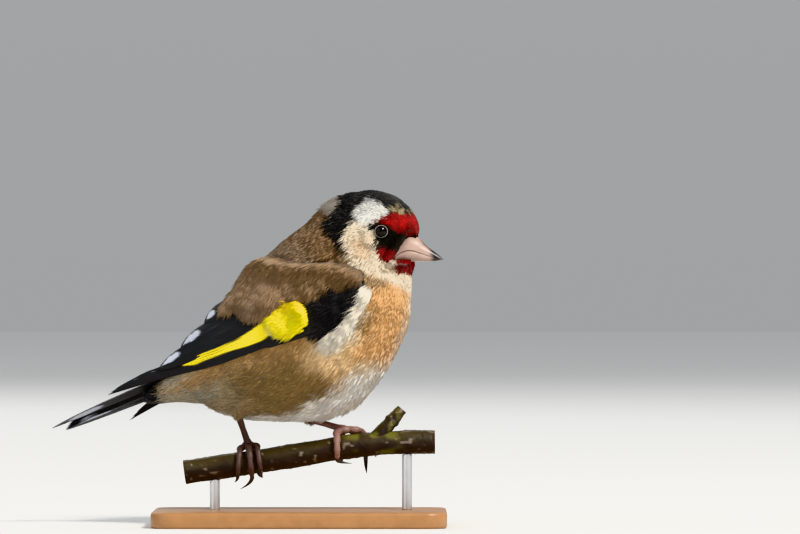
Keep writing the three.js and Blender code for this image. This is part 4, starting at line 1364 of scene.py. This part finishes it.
@dataclass
class Bill:
    """The conical bill: ridge, mouth and keel lines with the half width at each station."""

    culmen: Outline = (
        (30.2, 83.2), (32.8, 83.2), (35.2, 82.0), (36.7, 80.4), (38.4, 79.1), (40.3, 77.7), (42.1, 76.1),
    )
    mouth: Outline = (
        (28.6, 76.7), (30.6, 78.1), (33.0, 78.6), (35.2, 78.0), (37.6, 77.2), (40.2, 76.4), (42.1, 76.1),
    )
    gonys: Outline = (
        (29.0, 75.2), (30.6, 75.4), (33.0, 75.5), (35.4, 75.5), (37.6, 75.6), (39.6, 75.7), (41.2, 76.0),
    )
    halves: tuple[float, ...] = (3.9, 3.75, 3.2, 2.45, 1.65, 0.9, 0.2)
    rows: int = 49
    gap: float = 0.04

    def build(self) -> list[bpy.types.Object]:
        """Build the upper and the lower half."""
        made = []
        for name, upper in (("bill_upper", True), ("bill_lower", False)):
            piece = self.half(upper).object(name + "_horn", Finishes.HORN.material())
            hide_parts(name)
            made.append(piece)
        return made

    def half(self, upper: bool) -> Shape:
        """One half of the bill."""
        ridge = smooth_path(self.culmen if upper else self.gonys, self.rows)
        mouth = smooth_path(self.mouth, self.rows)
        mouth[:, 1] += self.gap if upper else -self.gap
        half = smooth_path([(h,) for h in self.halves], self.rows)[:, 0] * (1.0 if upper else 0.96)
        turn = np.linspace(-math.pi / 2, math.pi / 2, 33)
        across = np.sign(turn) * np.abs(np.sin(turn)) ** 0.92
        rise = np.cos(turn) ** (0.95 if upper else 0.75)
        inner = np.linspace(1.0, -1.0, 9)[1:-1]
        across = np.concatenate([across, inner])
        rise = np.concatenate([rise, 0.12 * (1.0 - inner**2)])
        side = mouth[:, None, :] + (ridge - mouth)[:, None, :] * rise[None, :, None]
        rings = np.stack([side[..., 0], half[:, None] * across[None, :], side[..., 1]], axis=2)
        tint = self.paint(rings.reshape(-1, 3), np.tile(rise, self.rows), upper)
        return Shape.loft(rings, tint.reshape(rings.shape))

    def paint(self, flat: Array, height: Array, upper: bool) -> Array:
        """Colour of the horn: dark at the tip and along the ridge, smudged at the base, with painted shade
        along the mouth line.
        """
        cloud = noise(flat, 1.4, 51)
        dark = step(37.8, 40.2, flat[:, 0] + 0.5 * cloud + 1.5 * height * upper)
        ridge_dark = 0.8 * step(0.80, 1.0, height) * step(34.0, 37.0, flat[:, 0]) * upper
        base = 0.35 * step(33.6, 31.0, flat[:, 0] + 0.9 * cloud) * step(0.1, 0.5, height + 0.4 * cloud)
        # Painted shade: a darker line along the mouth.
        mouth_shade = 0.15 * step(0.10, 0.0, height)
        share = np.max([dark, ridge_dark, base, mouth_shade, 0.14 + 0.14 * noise(flat, 2.2, 52)], axis=0)
        return blend(Hue.HORN.rows(len(flat)), share, Hue.HORN_DARK)


@dataclass
class Eye:
    """A dark eye in its ring of beaded skin."""

    form: BodyForm
    hand: Hand

    def build(self) -> list[bpy.types.Object]:
        """Build ball and ring."""
        half = float(self.form.half(np.array([EYE.x]), np.array([EYE.z]))[0])
        centre = np.array([EYE.x, self.hand.value * (half - EYE.sunk), EYE.z])
        out = unit(np.array([0.24, self.hand.value, 0.0]))
        turn = np.linspace(0.001, math.pi - 0.001, 40)
        path = centre + EYE.radius * np.cos(turn)[:, None] * out
        rings = tube(path, EYE.radius * np.sin(turn), 48)
        tint = blend(Hue.IRIS.rows(len(turn)), step(0.50, 0.42, turn), Hue.EYE)
        ball = Shape.loft(rings, tint).object(f"eye_{self.hand.label}_ball", Finishes.EYE.material())
        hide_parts(f"eye_{self.hand.label}")
        return [ball, self.ring(centre, out)]

    def ring(self, centre: Array, out: Array) -> bpy.types.Object:
        """The ring of bare skin round the eye."""
        count, sides = 96, 12
        right = unit(np.cross(out, np.array([0.0, 0.0, 1.0])))
        over = np.cross(right, out)
        a = 2.0 * math.pi * np.arange(count) / count
        b = 2.0 * math.pi * np.arange(sides) / sides
        spoke = np.cos(a)[:, None] * right * 1.03 + np.sin(a)[:, None] * over * 0.97
        thick = 0.13 * (1.0 + 0.14 * np.cos(26 * a))[:, None, None]
        middle = centre + out * 1.02 + spoke * 1.74
        body = np.cos(b)[None, :, None] * spoke[:, None] + np.sin(b)[None, :, None] * out * 1.2
        points = (middle[:, None] + thick * body).reshape(-1, 3)
        faces = grid_faces(count, sides, True)
        seam = np.arange(sides)
        k = (seam + 1) % sides
        last = (count - 1) * sides
        faces = np.concatenate([faces, np.stack([last + seam, last + k, k, seam], axis=1)])
        shape = Shape(points, [faces], Hue.LID.rows(len(points)))
        made = shape.object(f"eye_{self.hand.label}_ring", Finishes.LID.material())
        return made


# Perch, legs and stand, in the row frame


@dataclass
class Branch:
    """The cut branch with the stub of a twig."""

    line: Outline = (
        (-33, 15.4), (-28.6, 16), (-14.3, 18.1), (0, 20.3), (14.3, 22.7), (28.6, 23.9), (38.6, 24),
    )
    radius: float = 3.5
    twig: Outline = ((21, 23.5), (24.6, 28.0), (26.6, 30.4), (29.2, 33.4))
    twig_radius: Outline = ((0, 3.0), (0.3, 2.2), (0.5, 1.95), (0.62, 2.25), (0.72, 1.95), (1, 1.5))
    cut_rings: tuple[float, ...] = (0.93, 0.7, 0.45, 0.2)
    rows: int = 240
    twig_rows: int = 80
    sides: int = 64

    def height(self, x: Array) -> Array:
        """Height of the branch's middle."""
        path = smooth_path(self.line, 200)
        return np.interp(x, path[:, 0], path[:, 1])

    def around(self, x: Array, turn: Array, reach: Array) -> Array:
        """Points near the branch: turn in degrees from its top towards -Y."""
        angle = np.radians(turn)
        x = np.asarray(x, float)
        return np.stack([x, -reach * np.sin(angle), self.height(x) + reach * np.cos(angle)], axis=-1)

    def build(self) -> list[bpy.types.Object]:
        """Build stem and twig as one piece."""
        u = np.linspace(0.0, 16.0, self.rows)
        stem = self.limb(self.line, self.radius * (1.0 + 0.022 * np.sin(1.9 * u)) * 0.985)
        twig = self.limb(self.twig, lookup(self.twig_radius, np.linspace(0.0, 1.0, self.twig_rows)))
        made = Shape.join([stem, twig]).object("perch_bark", Finishes.BARK.material(), True)
        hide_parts("perch")
        return [made]

    def limb(self, line: Outline, radii: Array) -> Shape:
        """A length of branch with bark relief and cut ends."""
        side_view = smooth_path(line, len(radii))
        path = np.stack([side_view[:, 0], np.zeros(len(radii)), side_view[:, 1]], axis=1)
        rings = tube(path, radii, self.sides, (0.0, 1.0, 0.0))
        flat = rings.reshape(-1, 3)
        out = unit(flat - np.repeat(path, self.sides, axis=0))
        relief = 0.10 * noise(flat * np.array([0.35, 1, 1]), 1.1, 61) + 0.07 * noise(flat, 0.6, 62)
        cell = noise(flat * np.array([0.7, 1, 1]), 0.95, 63)
        lenticel = step(0.52, 0.72, cell)
        rings = (flat + out * (relief + 0.12 * lenticel - 0.06)[:, None]).reshape(rings.shape)
        tint = self.paint(flat, out, lenticel).reshape(rings.shape)
        share = np.array(self.cut_rings)[:, None, None]
        wood = Hue.CUT_WOOD.rgb * (1.0 + 0.3 * np.cos(share * 22.0))
        caps = [path[i] + (rings[i] - path[i]) * share for i in (0, -1)]
        rings = np.concatenate([caps[0][::-1], rings, caps[1]])
        wood = np.broadcast_to(wood, caps[0].shape)
        return Shape.loft(rings, np.concatenate([wood[::-1], tint, wood]))

    def paint(self, p: Array, out: Array, lenticel: Array) -> Array:
        """Colour of the bark: purplish brown, olive on top, green algae near the twig."""
        dark = Hue.BARK.rgb * (1.0 + 0.4 * noise(p, 2.0, 64))[:, None]
        on_top = step(-0.2, 0.9, out[:, 2] + 0.3 * noise(p, 3.0, 65))
        near_twig = step(10.0, 16.0, p[:, 0]) * step(31.0, 26.0, p[:, 0])
        algae = near_twig * step(-0.1, 0.6, noise(p, 2.6, 66) + 0.4 * out[:, 2])
        colour = blend(blend(dark, 0.7 * on_top, Hue.BARK_TOP), 0.6 * algae, Hue.ALGAE)
        return blend(colour, 0.6 * lenticel, Hue.LENTICEL)


@dataclass(frozen=True)
class Toe:
    """A toe: where along the branch it starts and ends from the foot, its turns from the top, its
    radius, and its claw's sweep, drift and lift."""

    span: tuple[float, float]
    turn: tuple[float, float]
    radius: float
    claw: tuple[float, float, float]

    def reach(self, branch: Branch, f: Array) -> Array:
        """Distance of the toe's middle line from the branch's."""
        return branch.radius + 0.16 + self.radius * (1.0 - 0.2 * f) + 0.06

    def build(self, branch: Branch, foot: float, tint: Array) -> Shape:
        """The toe with its knuckles, scutes above and pads below."""
        f = np.linspace(0.0, 1.0, 7)
        x = foot + self.span[0] + (self.span[1] - self.span[0]) * f
        corners = branch.around(x, self.turn[0] + (self.turn[1] - self.turn[0]) * f, self.reach(branch, f))
        first = self.reach(branch, np.zeros(1)) + 0.3
        start = branch.around(np.array([foot + self.span[0] * 0.35]), np.array([self.turn[0] * 0.1]), first)
        rows, sides = 73, 20
        path = smooth_path(np.concatenate([start, corners]), rows)
        g = np.linspace(-1.0, 6.0, rows)
        knuckle = 1.03 + 0.07 * np.cos(np.pi * g)
        end = np.sqrt(np.clip((6.0 - g) / 0.5, 0.02, 1.0))
        radii = self.radius * (1.0 - 0.28 * np.clip(g / 6.0, 0.0, 1.0)) * knuckle * end
        rings = tube(path, radii, sides, (1.0, 0.01, 0.0))
        flat = rings.reshape(-1, 3)
        heart = np.repeat(path, sides, axis=0)
        axis = np.stack([flat[:, 0], np.zeros(len(flat)), branch.height(flat[:, 0])], axis=1)
        facing = np.einsum("ij,ij->i", unit(flat - heart), unit(heart - axis))
        g2 = np.repeat(g, sides)
        scute = np.abs(np.sin(g2 * 2.6 * np.pi)) ** 0.5
        grow = 0.045 * scute * step(-0.1, 0.5, facing) + 0.08 * np.cos(np.pi * g2) * step(0.0, -0.6, facing)
        rings = (flat + unit(flat - heart) * grow[:, None]).reshape(rings.shape)
        shade = (0.62 + 0.42 * scute * step(-0.2, 0.4, facing) + 0.2 * step(0.1, -0.5, facing))[:, None]
        return Shape.loft(rings, (tint * shade).reshape(rings.shape))

    def horn(self, branch: Branch, foot: float) -> Shape:
        """The claw."""
        sweep, drift, lift = self.claw
        f = np.linspace(0.0, 1.0, 28)
        first = float(self.reach(branch, np.ones(1))[0])
        clear = math.degrees(math.copysign(0.35, self.turn[1] - self.turn[0]) / first)
        turn = self.turn[1] + clear * 0.4 + sweep * f
        path = branch.around(foot + self.span[1] + drift * f**2.2, turn, first + lift * f**0.9)
        radii = self.radius * 0.50 * (1.0 - f**1.5) + 0.07
        tint = Hue.CLAW.rgb * (1.6 - 0.9 * f[:, None])
        return Shape.loft(tube(path, radii, 14, (1.0, 0.01, 0.0), 1.15), tint)


@dataclass
class Leg:
    """A leg from the feathered thigh to the claws."""

    branch: Branch
    hand: Hand
    thigh: Colour
    heel: Colour
    foot: float
    toes: tuple[Toe, ...]
    hue: Hue

    THIGH: Outline = ((0, 1.5), (0.35, 1.9), (0.7, 1.4), (1, 1.05), (1.08, 0.9))
    SHANK: Outline = (
        (-0.06, 1.15), (0.0, 1.25), (0.1, 1.0), (0.45, 0.82), (0.8, 0.92), (0.95, 1.25), (1.0, 1.3),
    )
    TUFTS = 900

    def build(self) -> list[bpy.types.Object]:
        """Build thigh, shank, toes and claws."""
        label = self.hand.label
        made = self.feathered()
        shank = self.shank().object(f"tarsus_{label}_scutes", Finishes.LEG.material(), True)
        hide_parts(f"tarsus_{label}")
        made.append(shank)
        for i, toe in enumerate(self.toes, 1):
            skin = toe.build(self.branch, self.foot, self.hue.rgb)
            piece = skin.object(f"toe_{label}_{i}_skin", Finishes.LEG.material(), True)
            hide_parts(f"toe_{label}_{i}")
            horn = toe.horn(self.branch, self.foot)
            claw = horn.object(f"claw_{label}_{i}_horn", Finishes.CLAW.material(), True)
            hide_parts(f"claw_{label}_{i}")
            made += [piece, claw]
        return made

    def shank(self) -> Shape:
        """The bare shank with its scutes, and the ball of the foot."""
        above = np.array([self.branch.radius + 1.55])
        foot = self.branch.around(np.array([self.foot]), np.zeros(1), above)[0]
        heel = np.array(self.heel)
        rows, sides = 90, 24
        f = np.linspace(-0.06, 1.0, rows)
        path = heel + (foot - heel) * f[:, None]
        rings = tube(path, lookup(self.SHANK, f), sides, (0.0, 1.0, 0.0))
        flat = rings.reshape(-1, 3)
        out = unit(flat - np.repeat(path, sides, axis=0))
        g = np.repeat(f, sides)
        plate = (g * 8.5 + 0.15 * out[:, 1]) % 1.0
        ahead = step(-0.3, 0.3, out[:, 0])
        edge = step(0.0, 0.14, plate)
        rings = (flat + out * (ahead * (0.09 * edge - 0.03 * plate))[:, None]).reshape(rings.shape)
        tint = self.hue.rgb * (0.75 + 0.3 * edge * ahead + 0.1 * noise(flat, 0.8, 71))[:, None]
        turn = np.linspace(0.02, math.pi - 0.02, 20)
        ball = foot + np.cos(turn)[:, None] * np.array([2.0, 0.0, 0.0])
        bulb = tube(ball, 1.45 * np.sin(turn), 24, (0.0, 0.0, 1.0), 0.86)
        tints = np.tile(self.hue.rgb * 0.9, (20, 1))
        return Shape.join([Shape.loft(rings, tint.reshape(rings.shape)), Shape.loft(bulb, tints)])

    def feathered(self) -> list[bpy.types.Object]:
        """The feathered thigh: skin and tufts that point to the heel."""
        label = self.hand.label
        top, heel = np.array(self.thigh), np.array(self.heel)
        f = np.linspace(0.0, 1.08, 24)
        path = top + (heel - top) * f[:, None]
        rings = tube(path, lookup(self.THIGH, f), 24, (0.0, 1.0, 0.0))
        hue = Hue.VENT.rgb if self.hand is Hand.RIGHT else Hue.RUMP.rgb
        # The thigh's skin takes the thigh colour at 60%: painted shade under the tufts.
        skin = Shape.loft(rings, np.tile(hue * 0.6, (24, 1)))
        skin_piece = skin.object(f"thigh_{label}_skin", Finishes.SKIN.material(), True)
        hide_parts(f"thigh_{label}")
        rng = np.random.default_rng(SEED + 60 + self.hand.value)
        count = self.TUFTS
        g = rng.uniform(0.0, 1.0, count)
        turn = rng.uniform(0.0, 2.0 * math.pi, count)
        along = unit(heel - top)
        right = unit(np.cross(along, np.array([0.0, 1.0, 0.0])))
        over = np.cross(right, along)
        out = np.cos(turn)[:, None] * right + np.sin(turn)[:, None] * over
        radius = lookup(self.THIGH, g) - 0.1
        root = top + (heel - top) * g[:, None] + out * radius[:, None]
        tint = hue * (1.0 + 0.2 * rng.normal(size=(count, 1)))
        spot = bake_place(g, turn / (2.0 * math.pi))
        length = lookup(((0, 3.6), (1, 1.7)), g) * rng.uniform(0.8, 1.1, count)
        width, rise = np.full(count, 0.24), np.full(count, 0.16)
        way = np.tile(along, (count, 1))
        tufts = Blades().grow(rng, root, way, out, length, width, rise, tint, spot)
        coat = tufts.object(f"thigh_{label}_coat", Finishes.COAT.material(), True)
        return [skin_piece, coat]


@dataclass
class Stand:
    """The display stand: a flat wooden base and two steel rods under the branch."""

    branch: Branch
    length: float = 84.0
    width: float = 50.0
    height: float = 4.6
    corner: float = 6.0
    bevel: float = 0.8
    rod: float = 1.5
    rods: tuple[tuple[str, float], ...] = (("rear", -24.3), ("front", 30.6))

    def build(self) -> list[bpy.types.Object]:
        """Build base and rods."""
        base = self.plate().object("stand_base_board", Finishes.WOOD.material(), True)
        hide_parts("stand_base")
        made = [base]
        for name, x in self.rods:
            piece = self.post(x).object(f"stand_rod_{name}_steel", Finishes.STEEL.material(), True)
            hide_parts(f"stand_rod_{name}")
            made.append(piece)
        return made

    def plate(self) -> Shape:
        """The base with rounded corners and bevelled edges."""
        turn = np.linspace(0.0, 2.0 * math.pi, 96, endpoint=False) + 1e-6
        quarter = np.stack([np.sign(np.cos(turn)), np.sign(np.sin(turn))], axis=1)
        rings = []
        b, top = self.bevel, self.height
        inner = self.corner + 2.0
        low = ((0.0, inner), (0.0, b), (0.25 * b, 0.3 * b), (b, 0.0))
        high = ((top - b, 0.0), (top - 0.3 * b, 0.25 * b), (top, b), (top, inner))
        for z, inset in low + high:
            radius = max(self.corner - inset, 0.5)
            heart = quarter * (np.array([self.length, self.width]) / 2.0 - inset - radius)
            flat = heart + radius * np.stack([np.cos(turn), np.sin(turn)], axis=1)
            rings.append(np.concatenate([flat, np.full((len(turn), 1), z)], axis=1))
        return Shape.loft(np.array(rings))

    def post(self, x: float) -> Shape:
        """A rod whose top is hollowed to the branch."""
        turn = 2.0 * math.pi * np.arange(40) / 40
        px, py = x + self.rod * np.cos(turn), self.rod * np.sin(turn)
        top = self.branch.height(px) - np.sqrt((self.branch.radius + 0.15) ** 2 - py**2)
        foot = self.height
        rings = [np.stack([px, py, foot + (top - foot) * f], axis=1) for f in (0.0, 0.02, 0.5, 0.98, 1.0)]
        return Shape.loft(np.array(rings))


def legs(branch: Branch) -> list[Leg]:
    """The two legs."""
    # The right leg is coloured with the darkened leg colour: painted shade under the belly.
    right = Leg(branch, Hand.RIGHT, (-13.0, -7.0, 38.0), (-17.6, -5.2, 32.0), -14.7, (
        Toe((0.4, 2.6), (-14, -118), 0.95, (-42, 1.2, 0.6)),
        Toe((-2.3, -3.0), (16, 132), 0.88, (40, -1.0, 0.5)),
        Toe((0.1, 1.1), (20, 148), 1.0, (26, -3.4, 2.6)),
        Toe((2.4, 3.6), (16, 126), 0.88, (40, 0.6, 0.5)),
    ), Hue.LEG_DARK)
    left = Leg(branch, Hand.LEFT, (4.0, 7.0, 36.5), (2.8, 3.2, 30.4), 12.6, (
        Toe((-2.0, -1.9), (22, 128), 1.05, (22, 4.2, 0.9)),
        Toe((-0.6, -0.8), (-24, -116), 0.88, (-40, 0.4, 0.5)),
        Toe((2.2, 6.2), (-12, -138), 1.0, (-40, 0.3, 3.6)),
        Toe((3.4, 8.4), (-2, -96), 0.88, (-44, 0.8, 0.5)),
    ), Hue.LEG)
    return [right, left]


# Stage


@dataclass(frozen=True)
class Studio:
    """Pale floor, soft light and the camera."""

    distance: float = 2.0
    centre: tuple[float, float] = (0.0286, 0.0740)
    aim: Colour = (0.0, 0.0, 0.055)
    view_width: float = 0.2286
    floor_radius: float = 6.0
    sky_tone: Colour = (0.68, 0.70, 0.72)
    sky_strength: float = 0.75
    sensor: float = 36.0
    horizon_tone: Colour = (0.52, 0.535, 0.54)

    def build(self) -> None:
        """Build floor, lights and camera."""
        self.floor()
        self.light("key", (1.0, -1.2, 1.5), 0.5, 62.0, (1.0, 0.96, 0.89))
        self.light("fill", (-1.4, -1.1, 0.7), 1.6, 8.0, (0.92, 0.96, 1.0))
        self.light("back", (-0.7, 1.5, 1.3), 1.2, 12.0, (1.0, 0.98, 0.95))
        bpy.context.scene.view_settings.view_transform = "Khronos PBR Neutral"
        world = bpy.data.worlds.new("studio")
        world.use_nodes = True
        nodes = Nodes(world.node_tree)
        way = nodes.add("SeparateXYZ", {0: nodes.add("TexCoord").outputs["Generated"]}).outputs[2]
        height = nodes.ramp(way, [(0.0, 0.0), (0.5, 1.0)])
        tone = nodes.mix(height, (*self.horizon_tone, 1.0), (*self.sky_tone, 1.0))
        sky = world.node_tree.nodes["Background"]
        nodes.feed(sky.inputs["Color"], tone)
        nodes.feed(sky.inputs["Strength"], self.sky_strength)
        bpy.context.scene.world = world
        camera = bpy.data.cameras.new("camera")
        camera.sensor_width = self.sensor
        camera.lens = self.sensor * self.distance / self.view_width
        eye = bpy.data.objects.new("camera", camera)
        eye.location = (self.centre[0], -self.distance, self.centre[1])
        eye.rotation_euler = (math.pi / 2, 0.0, 0.0)
        bpy.context.scene.collection.objects.link(eye)
        bpy.context.scene.camera = eye

    def floor(self) -> None:
        """A wide pale disc at z = 0."""
        sides = 96
        turn = 2.0 * np.pi * np.arange(sides) / sides
        rim = np.stack([np.cos(turn), np.sin(turn), np.zeros(sides)], axis=1) * self.floor_radius / MM
        points = np.concatenate([rim, np.zeros((1, 3))])
        faces = np.stack([np.arange(sides), np.roll(np.arange(sides), -1), np.full(sides, sides)], axis=1)
        Shape(points, [faces]).object("floor", Finishes.FLOOR.material(), in_row=True)

    def light(self, name: str, place: Colour, size: float, power: float, colour: Colour) -> None:
        """A square soft light that faces the bird."""
        lamp = bpy.data.lights.new(name, "AREA")
        lamp.size = size
        lamp.energy = power
        lamp.color = colour
        made = bpy.data.objects.new(name, lamp)
        made.location = place
        made.rotation_euler = look_along(np.array(self.aim) - np.array(place))
        bpy.context.scene.collection.objects.link(made)


def look_along(way: Array) -> tuple[float, float, float]:
    """Angles that turn an object's -Z axis along a direction."""
    flat = math.hypot(way[0], way[1])
    return math.atan2(flat, -way[2]), 0.0, math.atan2(-way[0], way[1])


def main() -> None:
    """Build the model around the frame."""
    logging.basicConfig(level=logging.INFO, format="%(name)s: %(message)s")
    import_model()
    build_mottle()
    build_barbs()
    form = BodyForm()
    branch = Branch()
    builders = [Body(form, Markings()), Tail(), Bill(), branch, Stand(branch), *legs(branch)]
    for hand in Hand:
        builders += [Wing(form, hand), Eye(form, hand)]
    for builder in builders:
        for piece in builder.build():
            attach(piece, "root")
            log.info("%s: %d faces", piece.name, len(piece.data.polygons))
    Studio().build()


if __name__ == "__main__":
    main()
